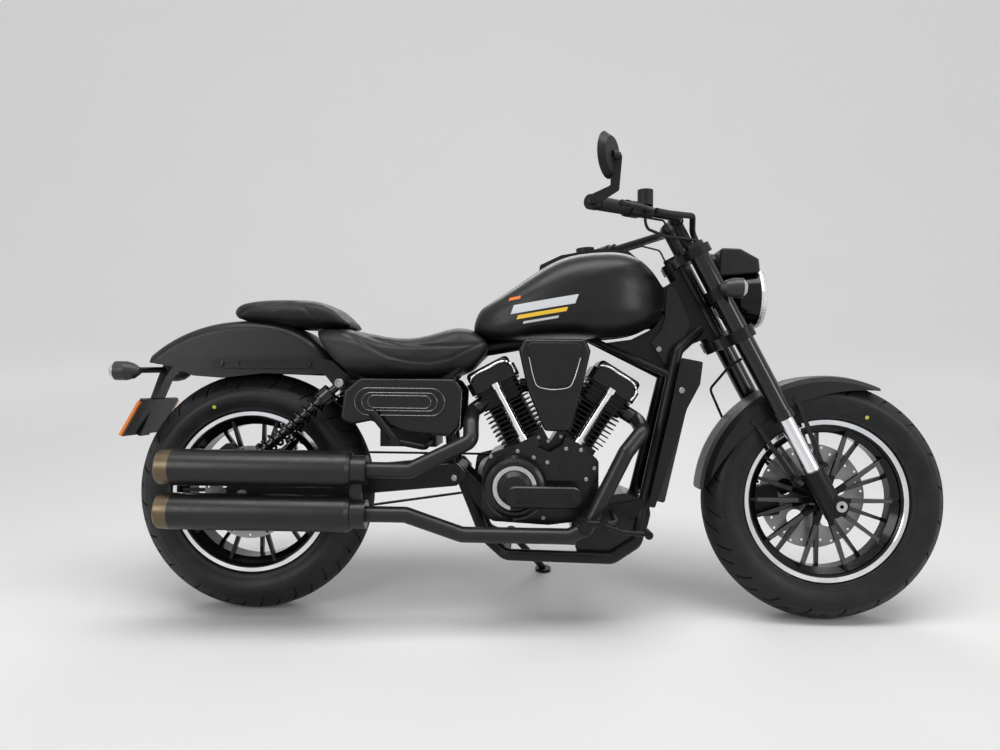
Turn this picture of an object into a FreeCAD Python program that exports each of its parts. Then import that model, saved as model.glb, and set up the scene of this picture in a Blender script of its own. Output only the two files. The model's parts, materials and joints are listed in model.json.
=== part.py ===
import FreeCAD, Part
import functools
import math
import os

# Cruiser motorcycle with a V-twin engine, in millimetres.
# It is drawn upright: X runs forward from the rear axle, Y to the rider's left, Z up from the road.
# The last step leans it onto its side stand and puts the origin under the middle of its box.

# Stance
wheelbase = 1540.0
lean_angle = 9.0

# Tyres and rims
front_tyre_diameter = 640.0
front_tyre_width = 130.0
rear_tyre_diameter = 646.0
rear_tyre_width = 150.0
tyre_crown_radius = 76.0
tyre_wall = 9.0
tyre_shoulder_drop = 3.5
bead_clearance = 0.3
rim_flange_diameter = 432.0
rim_seat_depth = 12.0
rim_well_depth = 28.0
rim_wall = 7.0
rim_flange = 5.0
front_rim_width = 92.0
rear_rim_width = 112.0
spoke_count = 20
spoke_hub_width = 14.0
spoke_rim_width = 8.5
spoke_depth = 12.0
front_hub_radius = 32.0
front_hub_half = 46.0
rear_hub_radius = 40.0
rear_hub_half = 54.0
spoke_plane_inset = 18.0

# Axles
front_axle_radius = 8.5
rear_axle_radius = 10.0
axle_bore_radius = 5.0
axle_nut_radius = 14.0
axle_nut_length = 10.0
running_clearance = 0.08
end_clearance = 0.6

# Brake discs
front_disc_radius = 145.0
rear_disc_radius = 124.0
disc_thickness = 4.5
disc_band = 34.0
disc_carrier_thickness = 6.0
disc_plane = 62.0
disc_hole_radius = 3.6
disc_hole_count = 15
pad_clearance = 1.5
caliper_clearance = 5.5

# Fork and steering
rake_angle = 28.0
axle_lead = 12.0
clamp_offset = 45.0
leg_spacing = 210.0
leg_radius = 26.0
slider_radius = 20.5
slider_clearance = 0.3
slider_overlap = 80.0
slider_socket = 60.0
leg_bottom = 257.0
leg_top = 768.0
lower_casting_radius = 27.5
lower_casting_top = 105.0
lower_casting_bottom = -24.0
lower_clamp_base = 486.0
lower_clamp_thickness = 30.0
upper_clamp_base = 732.0
upper_clamp_thickness = 24.0
clamp_boss = 10.0
stem_radius = 15.0
head_tube_radius = 30.0
head_gap = 1.0
steering_lock = 35.0

# Front mudguard
front_guard_clearance = 11.0
front_guard_wall = 3.0
front_guard_half = 74.0
front_guard_front_angle = 66.0
front_guard_rear_angle = 176.0
guard_stay_wall = 3.0

# Handlebar
bar_radius = 11.1
bar_height = 845.0
bar_end_x = 887.0
bar_end_y = 400.0
bar_end_z = 1026.0
bar_bend_y = 108.0
bar_bend_radius = 70.0
riser_spacing = 110.0
riser_radius = 16.0
riser_block = 19.0
riser_block_width = 30.0
grip_radius = 16.0
grip_length = 122.0
grip_clearance = 0.3
pod_length = 44.0
pod_radius = 20.0
mirror_radius = 51.0
mirror_depth = 14.0
mirror_rise = 93.0
mirror_arm_wall = 7.0

# Headlamp
lamp_ahead = 104.9
lamp_above_clamp = 80.7
lamp_radius = 81.0
lamp_depth = 104.0
lamp_ring_depth = 18.0
lamp_lens_radius = 71.0
lamp_lens_bulge = 12.0
collar_above_clamp = 136.0
signal_radius = 25.0
signal_y = 172.0
gauge_radius = 30.0

# Frame
down_tube_radius = 15.0
backbone_radius = 22.0
post_radius = 14.0
rail_radius = 12.7
rail_y = 97.0
rail_z = 622.0
post_y = 62.0
brace_radius = 9.0
neck_half = 34.0
pivot_x = 555.0
pivot_z = 384.0
pivot_boss_radius = 24.0
pivot_boss_half = 78.0
pivot_bolt_radius = 9.0
strut_height = 32.0
strut_wall = 8.0
strut_bolt_radius = 4.2
rack_bolt_rear_x = -70.0
rack_bolt_front_x = 165.0
rack_bolt_z = 668.0
shock_stud_radius = 6.0

# Swingarm and shocks
arm_wall = 24.0
right_arm_y = -96.0
left_arm_y = 108.0
arm_axle_height = 44.0
arm_pivot_height = 58.0
shock_y = 122.0
shock_width = 22.0
shock_top_x = 254.0
shock_top_z = 618.0
shock_foot_x = 20.0
shock_foot_z = 411.0
lug_wall = 7.0
spring_radius = 23.5
spring_wire = 4.0
spring_wire_sides = 6
spring_turns = 9
damper_radius = 12.5
shock_eye_radius = 15.0
spring_foot = 38.0
spring_foot_height = 8.0
spring_head = 34.0
spring_head_height = 28.0

# Belt drive
belt_y = 80.0
belt_width = 18.0
belt_thickness = 5.0
rear_pulley_radius = 95.0
front_pulley_radius = 46.0
front_pulley_x = 650.0
front_pulley_z = 372.0
belt_clearance = 0.4

# Engine
crank_x = 800.0
crank_z = 352.0
rear_cylinder_angle = 28.0
front_cylinder_angle = 32.0
case_half = 100.0
deck_height = 146.0
barrel_height = 104.0
fin_count = 8
fin_thickness = 3.5
fin_half_width = 66.0
fin_half_depth = 84.0
barrel_radius = 52.0
head_height = 52.0
rocker_height = 60.0
rocker_half_width = 70.0
rocker_half_depth = 88.0
pushrod_radius = 9.5
pushrod_y = 112.0
clutch_x = 712.0
clutch_z = 356.0
clutch_radius = 83.0
clutch_depth = 64.0
oblong_height = 58.0

# Exhaust
pipe_radius = 20.0
pipe_y = 176.0
muffler_radius = 46.0
muffler_y = 202.0
muffler_length = 487.0
muffler_x = -182.0
upper_muffler_z = 402.0
lower_muffler_z = 292.0
muffler_mouth = 17.0
collar_radius = 36.0
collar_length = 38.0
pipe_clearance = 0.3

# Body panels
panel_wall = 2.5
guard_half = 95.0
guard_fillet = 26.0
seat_clearance = 0.3
cover_y = 150.0
cover_depth = 26.0
cover_rounding = 8.0
box_half = 82.0

# Hoses and cables
hose_radius = 3.6
loom_radius = 8.0
cable_radius = 2.6

# Side stand, as upright coordinates
stand_x = 700.0
stand_y = 146.0
stand_z = 186.0
stand_foot_x = 799.0
stand_foot_y = 285.0
stand_axis_tilt = 27.0
stand_radius = 10.0
stand_foot_radius = 24.0
stand_foot_thickness = 9.0
stand_eye_half = 11.0
stand_fold = 112.0

rear_axle_z = rear_tyre_diameter / 2
front_axle_z = front_tyre_diameter / 2
flange_radius = rim_flange_diameter / 2
along_y = FreeCAD.Vector(0, 1, 0)
along_z = FreeCAD.Vector(0, 0, 1)
sides = (-1, 1)


def point(x, y, z):
    return FreeCAD.Vector(x, y, z)


def rod(start, end, radius):
    run = end - start
    return Part.makeCylinder(radius, run.Length, start, run)


def cone(start, end, start_radius, end_radius):
    run = end - start
    return Part.makeCone(start_radius, end_radius, run.Length, start, run)


def upright(low, high, radius):
    return rod(point(0, 0, low), point(0, 0, high), radius)


def across(x, z, y_from, y_to, radius):
    return rod(point(x, min(y_from, y_to), z), point(x, max(y_from, y_to), z), radius)


def block(x_from, x_to, y_from, y_to, z_from, z_to):
    low = point(min(x_from, x_to), min(y_from, y_to), min(z_from, z_to))
    return Part.makeBox(abs(x_to - x_from), abs(y_to - y_from), abs(z_to - z_from), low)


def joined(shapes):
    first = shapes[0]
    rest = shapes[1:]
    whole = first.multiFuse(rest) if rest else first
    return whole.removeSplitter()


def mirrored(shape):
    return shape.mirror(point(0, 0, 0), along_y)


def pair(shape):
    return [shape, mirrored(shape)]


def corner_arc(before, corner, after, bend):
    back = (before - corner).normalize()
    onward = (after - corner).normalize()
    turn = math.pi - back.getAngle(onward)
    run = bend * math.tan(turn / 2)
    inward = (back + onward).normalize()
    first = corner + back * run
    last = corner + onward * run
    middle = corner + inward * (bend / math.cos(turn / 2) - bend)
    return first, middle, last


def bent_rod(points, radius, bend):
    edges = []
    here = points[0]
    for before, corner, after in zip(points, points[1:], points[2:]):
        first, middle, last = corner_arc(before, corner, after, bend)
        edges.append(Part.LineSegment(here, first).toShape())
        edges.append(Part.Arc(first, middle, last).toShape())
        here = last
    edges.append(Part.LineSegment(here, points[-1]).toShape())
    path = Part.Wire(edges)
    section = Part.Wire(Part.makeCircle(radius, points[0], points[1] - points[0]))
    return path.makePipeShell([section], True, False)


def rounded_loop(points, bend):
    edges = []
    arcs = []
    for index, corner in enumerate(points):
        after = points[(index + 1) % len(points)]
        arcs.append(corner_arc(points[index - 1], corner, after, bend))
    for index, (first, middle, last) in enumerate(arcs):
        edges.append(Part.Arc(first, middle, last).toShape())
        onward = arcs[(index + 1) % len(arcs)][0]
        if (onward - last).Length > 0.001:
            edges.append(Part.LineSegment(last, onward).toShape())
    return Part.Wire(edges)


def side_plate(outline, y_from, y_to, bend=0.0):
    low = min(y_from, y_to)
    corners = [point(x, low, z) for x, z in outline]
    if bend:
        loop = rounded_loop(corners, bend)
    else:
        loop = Part.makePolygon(corners + corners[:1])
    return Part.Face(loop).extrude(along_y * abs(y_to - y_from))


def stadium(x, z, half_length, half_height, y_from, y_to):
    corners = [(x - half_length, z - half_height), (x - half_length, z + half_height),
               (x + half_length, z + half_height), (x + half_length, z - half_height)]
    return side_plate(corners, y_from, y_to, half_height - 0.5)


def softened(shape, y, radius):
    rim = []
    for edge in shape.Edges:
        box = edge.BoundBox
        if abs(box.YMin - y) < 0.01 and abs(box.YMax - y) < 0.01:
            rim.append(edge)
    return shape.makeFillet(radius, rim)


def turned(profile, x, z):
    corners = [point(x, y, z + radius) for radius, y in profile]
    face = Part.Face(Part.makePolygon(corners + corners[:1]))
    return face.revolve(point(x, 0, z), along_y, 360)


def bullet(profile, y, z):
    corners = [point(x, y, z + radius) for x, radius in profile]
    face = Part.Face(Part.makePolygon(corners + corners[:1]))
    return face.revolve(point(0, y, z), point(1, 0, 0), 360)


def fork_point(x, y, z):
    rake = math.radians(rake_angle)
    base_x = wheelbase - axle_lead * math.cos(rake)
    base_z = front_axle_z - axle_lead * math.sin(rake)
    forward = x * math.cos(rake) - z * math.sin(rake)
    upward = x * math.sin(rake) + z * math.cos(rake)
    return point(base_x + forward, y, base_z + upward)


lamp_spot = fork_point(lamp_ahead, 0, lower_clamp_base + lamp_above_clamp)
lamp_x = lamp_spot.x
lamp_z = lamp_spot.z
lamp_collar = lower_clamp_base + collar_above_clamp


def on_fork(shape):
    turn = FreeCAD.Rotation(along_y, -rake_angle)
    raked = shape.copy()
    raked.Placement = FreeCAD.Placement(fork_point(0, 0, 0), turn).multiply(shape.Placement)
    return raked


def oval(x, half_width, bottom, top, waist_share, fullness):
    waist = bottom + (top - bottom) * waist_share
    points = []
    for step in range(16):
        angle = 2 * math.pi * step / 16
        side = math.copysign(abs(math.cos(angle)) ** fullness, math.cos(angle))
        rise = abs(math.sin(angle)) ** fullness
        reach = top - waist if math.sin(angle) > 0 else bottom - waist
        points.append(point(x, half_width * side, waist + reach * rise))
    curve = Part.BSplineCurve()
    curve.interpolate(points, True)
    return Part.Wire(curve.toShape())


def lofted(stations, waist_share, fullness):
    wires = [oval(x, half, low, high, waist_share, fullness) for x, half, low, high in stations]
    return Part.makeLoft(wires, True, False)


# Wheels

def tyre(diameter, width, rim_width, x, z):
    outer = diameter / 2
    centre = outer - tyre_crown_radius
    shoulder_y = width / 2 - tyre_shoulder_drop
    shoulder = centre + math.sqrt(tyre_crown_radius ** 2 - shoulder_y ** 2)
    inner_crown = tyre_crown_radius - tyre_wall
    inner_y = min(shoulder_y - tyre_wall, inner_crown - 1)
    inner_shoulder = centre + math.sqrt(inner_crown ** 2 - inner_y ** 2)
    seat = flange_radius - rim_seat_depth + bead_clearance
    heel_y = rim_width / 2 - rim_flange - bead_clearance - 1.5
    lip = flange_radius + 5
    belly = (shoulder + lip) / 2
    wall_foot = rim_width / 2 + 3

    def spot(radius, y):
        return point(x, y, z + radius)

    edges = [Part.Arc(spot(shoulder, -shoulder_y), spot(outer, 0), spot(shoulder, shoulder_y)).toShape()]
    edges.append(Part.Arc(spot(shoulder, shoulder_y), spot(belly + 6, width / 2), spot(lip, wall_foot)).toShape())
    right = [spot(lip, wall_foot), spot(lip, heel_y), spot(seat, heel_y), spot(seat, heel_y - 9)]
    right.append(spot(inner_shoulder, inner_y))
    edges += [Part.LineSegment(a, b).toShape() for a, b in zip(right, right[1:])]
    edges.append(Part.Arc(spot(inner_shoulder, inner_y), spot(outer - tyre_wall, 0),
                          spot(inner_shoulder, -inner_y)).toShape())
    left = [point(p.x, -p.y, p.z) for p in reversed(right)]
    edges += [Part.LineSegment(a, b).toShape() for a, b in zip(left, left[1:])]
    edges.append(Part.Arc(spot(lip, -wall_foot), spot(belly + 6, -width / 2), spot(shoulder, -shoulder_y)).toShape())
    face = Part.Face(Part.Wire(edges))
    return face.revolve(point(x, 0, z), along_y, 360)


def rim_profile(rim_width):
    edge = rim_width / 2
    seat = flange_radius - rim_seat_depth
    well = flange_radius - rim_well_depth
    half = [(flange_radius, edge), (flange_radius, edge - rim_flange), (seat, edge - rim_flange - 1.5),
            (seat - 2, edge - 22), (well, edge - 29)]
    inner = [(well - rim_wall, edge - 27), (seat - rim_wall, edge - 14), (seat - rim_wall + 1, edge - 6),
             (flange_radius - 10, edge)]
    outer = half + [(radius, -y) for radius, y in reversed(half)]
    return outer + [(radius, -y) for radius, y in reversed(inner)] + inner


def spoke(angle, rim_width, hub_radius, hub_half, x, z, side):
    seat = flange_radius - rim_seat_depth
    hub_y = side * (hub_half - spoke_plane_inset)
    rim_y = side * (rim_width / 2 - 20)
    sections = []
    for radius, y, width in ((hub_radius - 4, hub_y, spoke_hub_width), (seat - 5, rim_y, spoke_rim_width)):
        half = width / 2
        deep = spoke_depth / 2
        corners = [point(-half, y - deep, radius), point(half, y - deep, radius),
                   point(half, y + deep, radius), point(-half, y + deep, radius)]
        sections.append(Part.makePolygon(corners + corners[:1]))
    arm = Part.makeLoft(sections, True, True)
    arm.rotate(point(0, 0, 0), along_y, angle)
    arm.translate(point(x, 0, z))
    return arm


def wheel(rim_width, hub_radius, hub_half, axle_radius, x, z):
    pieces = [turned(rim_profile(rim_width), x, z), across(x, z, -hub_half, hub_half, hub_radius)]
    for index in range(spoke_count):
        side = -1 if index % 2 else 1
        pieces.append(spoke(index * 360 / spoke_count, rim_width, hub_radius, hub_half, x, z, side))
    whole = joined(pieces)
    return whole.cut(across(x, z, -hub_half - 1, hub_half + 1, axle_radius + running_clearance))


def front_wheel():
    return wheel(front_rim_width, front_hub_radius, front_hub_half, front_axle_radius, wheelbase, front_axle_z)


def rear_wheel():
    return wheel(rear_rim_width, rear_hub_radius, rear_hub_half, rear_axle_radius, 0, rear_axle_z)


def brake_disc(radius, hub_half, axle_radius, side, x, z):
    inner = side * (disc_plane - disc_thickness / 2)
    outer = side * (disc_plane + disc_thickness / 2)
    band = across(x, z, inner, outer, radius).cut(across(x, z, inner, outer, radius - disc_band))
    carrier_radius = radius - disc_band + 6
    carrier = across(x, z, inner, side * (disc_plane + disc_carrier_thickness / 2), carrier_radius)
    windows = []
    for index in range(5):
        angle = 2 * math.pi * index / 5
        reach = carrier_radius * 0.66
        windows.append(across(x + reach * math.sin(angle), z + reach * math.cos(angle), -100, 100, carrier_radius * 0.2))
    carrier = carrier.cut(windows[0].multiFuse(windows[1:]))
    boss = across(x, z, side * hub_half, outer, axle_radius + 18)
    drillings = []
    for index in range(2 * disc_hole_count):
        angle = math.pi * index / disc_hole_count
        reach = radius - (8 if index % 2 else 19)
        drillings.append(across(x + reach * math.sin(angle), z + reach * math.cos(angle), -100, 100, disc_hole_radius))
    band = band.cut(drillings[0].multiFuse(drillings[1:]))
    whole = joined([band, carrier, boss])
    return whole.cut(across(x, z, -100, 100, axle_radius + running_clearance))


def front_disc():
    return brake_disc(front_disc_radius, front_hub_half, front_axle_radius, 1, wheelbase, front_axle_z)


def rear_disc():
    return brake_disc(rear_disc_radius, rear_hub_half, rear_axle_radius, -1, 0, rear_axle_z)


def rear_pulley():
    ring = across(0, rear_axle_z, belt_y - 1, belt_y + belt_width + 1, rear_pulley_radius)
    dish = across(0, rear_axle_z, belt_y + 8, belt_y + belt_width + 2, rear_pulley_radius - 14)
    boss = across(0, rear_axle_z, rear_hub_half, belt_y + belt_width, rear_axle_radius + 22)
    holes = []
    for index in range(5):
        angle = 2 * math.pi * index / 5
        reach = rear_pulley_radius * 0.6
        holes.append(across(reach * math.sin(angle), rear_axle_z + reach * math.cos(angle), 0, 200, 15))
    whole = joined([ring.cut(dish), boss]).cut(holes[0].multiFuse(holes[1:]))
    return whole.cut(across(0, rear_axle_z, 0, 200, rear_axle_radius + running_clearance))


def hollow_axle(x, z, radius, right_end, left_end, right_hub, left_hub, right_arm, left_arm):
    nuts = [across(x, z, right_end - axle_nut_length, right_end, axle_nut_radius),
            across(x, z, left_end, left_end + axle_nut_length, axle_nut_radius)]
    spacers = [across(x, z, right_arm, right_hub - end_clearance, radius + 6),
               across(x, z, left_hub + end_clearance, left_arm, radius + 6)]
    shaft = across(x, z, right_end - axle_nut_length, left_end + axle_nut_length, radius)
    whole = joined([shaft] + nuts + spacers)
    return whole.cut(across(x, z, -300, 300, axle_bore_radius))


def front_axle():
    inner = leg_spacing / 2 - lower_casting_radius
    outer = leg_spacing / 2 + lower_casting_radius
    disc_face = disc_plane + disc_carrier_thickness / 2
    return hollow_axle(wheelbase, front_axle_z, front_axle_radius, -outer, outer,
                       -front_hub_half, disc_face, -inner, inner)


def rear_axle():
    disc_face = -disc_plane - disc_carrier_thickness / 2
    pulley_face = belt_y + belt_width
    return hollow_axle(0, rear_axle_z, rear_axle_radius, right_arm_y - arm_wall, left_arm_y + arm_wall,
                       disc_face, pulley_face, right_arm_y, left_arm_y)


# Fork, drawn along its own axis and then raked

def fork_tubes():
    tubes = []
    for side in sides:
        y = side * leg_spacing / 2
        tube = rod(point(0, y, leg_bottom), point(0, y, leg_top), leg_radius)
        seal = rod(point(0, y, leg_bottom), point(0, y, leg_bottom + 22), leg_radius + 3)
        bore = rod(point(0, y, leg_bottom - 1), point(0, y, leg_bottom + slider_overlap + slider_clearance),
                   slider_radius + slider_clearance)
        tubes.append(on_fork(tube.fuse(seal).removeSplitter().cut(bore)))
    return Part.makeCompound(tubes)


def fork_sliders():
    rods = []
    for side in sides:
        y = side * leg_spacing / 2
        rods.append(on_fork(rod(point(0, y, lower_casting_top - slider_socket), point(0, y, leg_bottom + slider_overlap),
                                slider_radius)))
    return Part.makeCompound(rods)


def fork_lowers():
    castings = []
    for side in sides:
        y = side * leg_spacing / 2
        leg = rod(point(0, y, lower_casting_bottom), point(0, y, lower_casting_top), lower_casting_radius)
        boss = across(axle_lead, 0, y - lower_casting_radius, y + lower_casting_radius, 24)
        inner_face = side * (leg_spacing / 2 - lower_casting_radius)
        wing = block(-52, 46, inner_face, inner_face + side * 16, 94, lower_casting_top)
        socket = rod(point(0, y, lower_casting_top - slider_socket), point(0, y, lower_casting_top + 1),
                     slider_radius + slider_clearance)
        bore = across(axle_lead, 0, y - 60, y + 60, front_axle_radius + running_clearance)
        pieces = [leg, boss, wing]
        if side > 0:
            pieces.append(block(-84, -10, inner_face + 6, inner_face + 18, 30, 92))
        castings.append(on_fork(joined(pieces).cut(socket).cut(bore)))
    return Part.makeCompound(castings)


def clamp_plate(base, thickness):
    half = leg_spacing / 2
    boss = leg_radius + clamp_boss
    bridge = block(-clamp_offset - 12, 16, -half, half, base, base + thickness)
    pieces = [bridge]
    for side in sides:
        pieces.append(rod(point(0, side * half, base), point(0, side * half, base + thickness), boss))
    pieces.append(rod(point(-clamp_offset, 0, base), point(-clamp_offset, 0, base + thickness), head_tube_radius + 2))
    return joined(pieces)


def risers(base):
    pieces = []
    for side in sides:
        y = side * riser_spacing / 2
        pieces.append(rod(point(0, y, base - 1), point(0, y, bar_height), riser_radius))
        pieces.append(across(0, bar_height, y - riser_block_width / 2, y + riser_block_width / 2, riser_block))
    return pieces


def fork_clamps():
    lower = clamp_plate(lower_clamp_base, lower_clamp_thickness)
    upper = clamp_plate(upper_clamp_base, upper_clamp_thickness)
    top = upper_clamp_base + upper_clamp_thickness
    stem = rod(point(-clamp_offset, 0, lower_clamp_base), point(-clamp_offset, 0, top + 4), stem_radius)
    nut = rod(point(-clamp_offset, 0, top), point(-clamp_offset, 0, top + 12), stem_radius + 5)
    whole = joined([lower, upper, stem, nut] + risers(top))
    for side in sides:
        y = side * leg_spacing / 2
        whole = whole.cut(rod(point(0, y, lower_clamp_base - 1), point(0, y, top + 1), leg_radius + running_clearance))
    whole = whole.cut(across(0, bar_height, -leg_spacing, leg_spacing, bar_radius + running_clearance))
    return on_fork(whole)


def front_guard():
    inner = front_tyre_diameter / 2 + front_guard_clearance
    outer = inner + front_guard_wall
    half = front_guard_half
    wall = front_guard_wall
    skirt = inner - 62
    profile = [(skirt, half), (outer - 16, half), (outer - 4, half - 16), (outer, half - 42), (outer, 42 - half),
               (outer - 4, 16 - half), (outer - 16, -half), (skirt, -half), (skirt, wall - half),
               (inner - 15, wall - half), (inner - 4, 17 - half), (inner, 42 - half), (inner, half - 42),
               (inner - 4, half - 17), (inner - 15, half - wall), (skirt, half - wall)]
    corners = [point(wheelbase, y, front_axle_z + radius) for radius, y in profile]
    face = Part.Face(Part.makePolygon(corners + corners[:1]))
    axle = point(wheelbase, 0, front_axle_z)
    face.rotate(axle, along_y, front_guard_rear_angle * -1 + 90)
    shell = face.revolve(axle, along_y, front_guard_rear_angle - front_guard_front_angle)
    rear_foot = point(wheelbase - inner - 40, -half - 1, front_axle_z - 20)
    rear_edge = point(wheelbase - inner + 8, -half - 1, front_axle_z + 36)
    crest = point(wheelbase - 57, -half - 1, front_axle_z + inner - 60)
    front_edge = point(wheelbase + 170, -half - 1, front_axle_z + inner - 42)
    front_foot = point(wheelbase + 170, -half - 1, front_axle_z - 20)
    edges = [Part.LineSegment(rear_foot, rear_edge).toShape(), Part.Arc(rear_edge, crest, front_edge).toShape(),
             Part.LineSegment(front_edge, front_foot).toShape(), Part.LineSegment(front_foot, rear_foot).toShape()]
    below = Part.Face(Part.Wire(edges)).extrude(along_y * (2 * half + 2))
    shell = shell.cut(below)
    stays = []
    for side in sides:
        for foot_x, head_x in ((-45, -66), (38, 60)):
            foot = on_fork(rod(point(foot_x, side * half, 101), point(foot_x, side * (half + guard_stay_wall), 101), 9))
            head = on_fork(rod(point(head_x, side * half, 279), point(head_x, side * (half + guard_stay_wall), 279), 10))
            bar = block(-6, 6, side * half, side * (half + guard_stay_wall), 0, math.hypot(head_x - foot_x, 178))
            bar.rotate(point(0, 0, 0), along_y, math.degrees(math.atan2(head_x - foot_x, 178)))
            bar.translate(point(foot_x, 0, 101))
            stays += [foot, head, on_fork(bar)]
    return joined([shell] + stays)


def front_caliper():
    pads = (disc_plane - disc_thickness / 2 - pad_clearance, disc_plane + disc_thickness / 2 + pad_clearance)
    body = block(-34, 34, disc_plane - 20, leg_spacing / 2 - lower_casting_radius + 6 - 0.3, -42, 42)
    body = body.makeFillet(9, [edge for edge in body.Edges if abs(edge.tangentAt(0).y) > 0.9])
    slot = block(-60, 22, pads[0], pads[1], -60, 60)
    body = body.cut(slot)
    reach = front_disc_radius - 14
    angle = math.radians(158)
    body.rotate(point(0, 0, 0), along_y, -math.degrees(angle))
    body.translate(point(axle_lead + reach * math.cos(angle), 0, reach * math.sin(angle)))
    return on_fork(body)


# Lamps on the fork

def headlamp_shell():
    back = lamp_x - lamp_depth
    profile = [(back, 0), (back, 30), (back + 10, 48), (back + 28, 65), (back + 52, 76), (lamp_x, lamp_radius),
               (lamp_x, lamp_lens_radius), (lamp_x - 18, lamp_lens_radius - 8), (lamp_x - 46, 34), (lamp_x - 52, 0)]
    return bullet(profile, 0, lamp_z)


def headlamp_ring():
    front = lamp_x + lamp_ring_depth
    profile = [(lamp_x, lamp_lens_radius), (lamp_x, lamp_radius), (lamp_x + 6, lamp_radius + 2),
               (front - 4, lamp_radius - 1), (front, lamp_radius - 6), (front, lamp_lens_radius)]
    return bullet(profile, 0, lamp_z)


def headlamp_lens():
    radius = lamp_lens_radius - seat_clearance
    nose = lamp_x + lamp_ring_depth - 3 + lamp_lens_bulge
    dome = (radius ** 2 + lamp_lens_bulge ** 2) / (2 * lamp_lens_bulge)
    disc = rod(point(lamp_x + 8, 0, lamp_z), point(nose + 1, 0, lamp_z), radius)
    return disc.common(Part.makeSphere(dome, point(nose - dome, 0, lamp_z)))


def lamp_cowl():
    back = lamp_x - lamp_depth
    outline = [(back - 8, lamp_z + 48), (back - 2, lamp_z + 126), (back + 50, lamp_z + 124),
               (lamp_x - 5, lamp_z + 97), (lamp_x - 1, lamp_z + 60)]
    hood = side_plate(outline, -74, 74, 9)
    hood = softened(softened(hood, -74, 7), 74, 7)
    hood = hood.cut(rod(point(back - 20, 0, lamp_z), point(lamp_x + 40, 0, lamp_z), lamp_radius + seat_clearance))
    pocket = rod(point(back - 16, 0, lamp_z + 92), point(back + 10, 0, lamp_z + 92), gauge_radius)
    return hood.cut(pocket)


def gauge():
    back = lamp_x - lamp_depth
    return rod(point(back - 14, 0, lamp_z + 92), point(back + 9.7, 0, lamp_z + 92), gauge_radius - seat_clearance)


def lamp_brackets():
    brackets = []
    for side in sides:
        y = side * leg_spacing / 2
        low = lamp_collar - 16
        high = lamp_collar + 16
        collar = rod(point(0, y, low), point(0, y, high), leg_radius + 6)
        bore = rod(point(0, y, low - 20), point(0, y, high + 20), leg_radius + running_clearance)
        stem_out = across(12, lamp_collar, y + side * (leg_radius + 2), side * (signal_y - signal_radius + 3), 7)
        arm = block(14, 84, side * (lamp_radius + 0.8), side * (lamp_radius + 7), lamp_collar - 26, lamp_collar - 4)
        brackets.append(on_fork(joined([collar, stem_out, arm]).cut(bore)))
    return Part.makeCompound(brackets)


def front_signals():
    centre = fork_point(12, 0, lamp_collar)
    lamps = []
    for side in sides:
        profile = [(centre.x - 28, 0), (centre.x - 26, 9), (centre.x - 12, 19), (centre.x + 8, signal_radius),
                   (centre.x + 30, signal_radius), (centre.x + 40, 15), (centre.x + 43, 0)]
        lamp = bullet(profile, side * signal_y, centre.z)
        lamps.append(lamp)
    stems = lamp_brackets()
    return Part.makeCompound([lamp.cut(stems) for lamp in lamps])


# Handlebar

def bar_points():
    centre = fork_point(0, 0, bar_height)
    bend = point(centre.x, bar_bend_y, centre.z)
    tip = point(bar_end_x, bar_end_y, bar_end_z)
    return centre, bend, tip


def handlebar():
    centre, bend, tip = bar_points()
    points = [point(tip.x, -tip.y, tip.z), point(bend.x, -bend.y, bend.z), bend, tip]
    return bent_rod(points, bar_radius, bar_bend_radius)


def along_bar(distance):
    centre, bend, tip = bar_points()
    back = (bend - tip).normalize()
    return tip + back * distance


def bar_sleeve(start, end, radius):
    sleeve = rod(along_bar(start), along_bar(end), radius)
    return sleeve.cut(rod(along_bar(start - 1), along_bar(end + 1), bar_radius + grip_clearance))


def grips():
    return Part.makeCompound(pair(bar_sleeve(4, 4 + grip_length, grip_radius)))


def switch_pods():
    start = 4 + grip_length + 0.5
    return Part.makeCompound(pair(bar_sleeve(start, start + pod_length, pod_radius)))


def levers():
    start = 4 + grip_length + pod_length + 1
    perch = bar_sleeve(start, start + 22, 17)
    ahead = point(0.77, 0.62, -0.12)
    pivot = along_bar(start + 11) + ahead * 38
    arm = rod(along_bar(start + 11) + ahead * 13, pivot, 8)
    blade = bent_rod([pivot, along_bar(start - 40) + ahead * 50, along_bar(20) + ahead * 56], 5, 30)
    knob = Part.makeSphere(8, along_bar(20) + ahead * 56)
    lever = joined([perch, arm, blade, knob])
    bore = rod(along_bar(start - 1), along_bar(start + 23), bar_radius + grip_clearance)
    return Part.makeCompound(pair(lever.cut(bore)))


def reservoir():
    start = 4 + grip_length + pod_length + 26
    foot = along_bar(start + 16)
    cup = rod(point(foot.x, -foot.y, foot.z + 14), point(foot.x, -foot.y, foot.z + 52), 19)
    saddle = bar_sleeve(start, start + 32, 17)
    saddle = mirrored(saddle)
    neck = rod(point(foot.x, -foot.y, foot.z + 10), point(foot.x, -foot.y, foot.z + 20), 10)
    bore = mirrored(rod(along_bar(start - 5), along_bar(start + 40), bar_radius + grip_clearance))
    return joined([cup, saddle, neck]).cut(bore)


def mirror_frame():
    tip = along_bar(0)
    clamp_end = along_bar(-22)
    centre = point(tip.x + 19, tip.y + 44, tip.z)
    facing = point(-math.cos(math.radians(30)), -math.sin(math.radians(30)), 0)
    return tip, clamp_end, centre, facing


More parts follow.
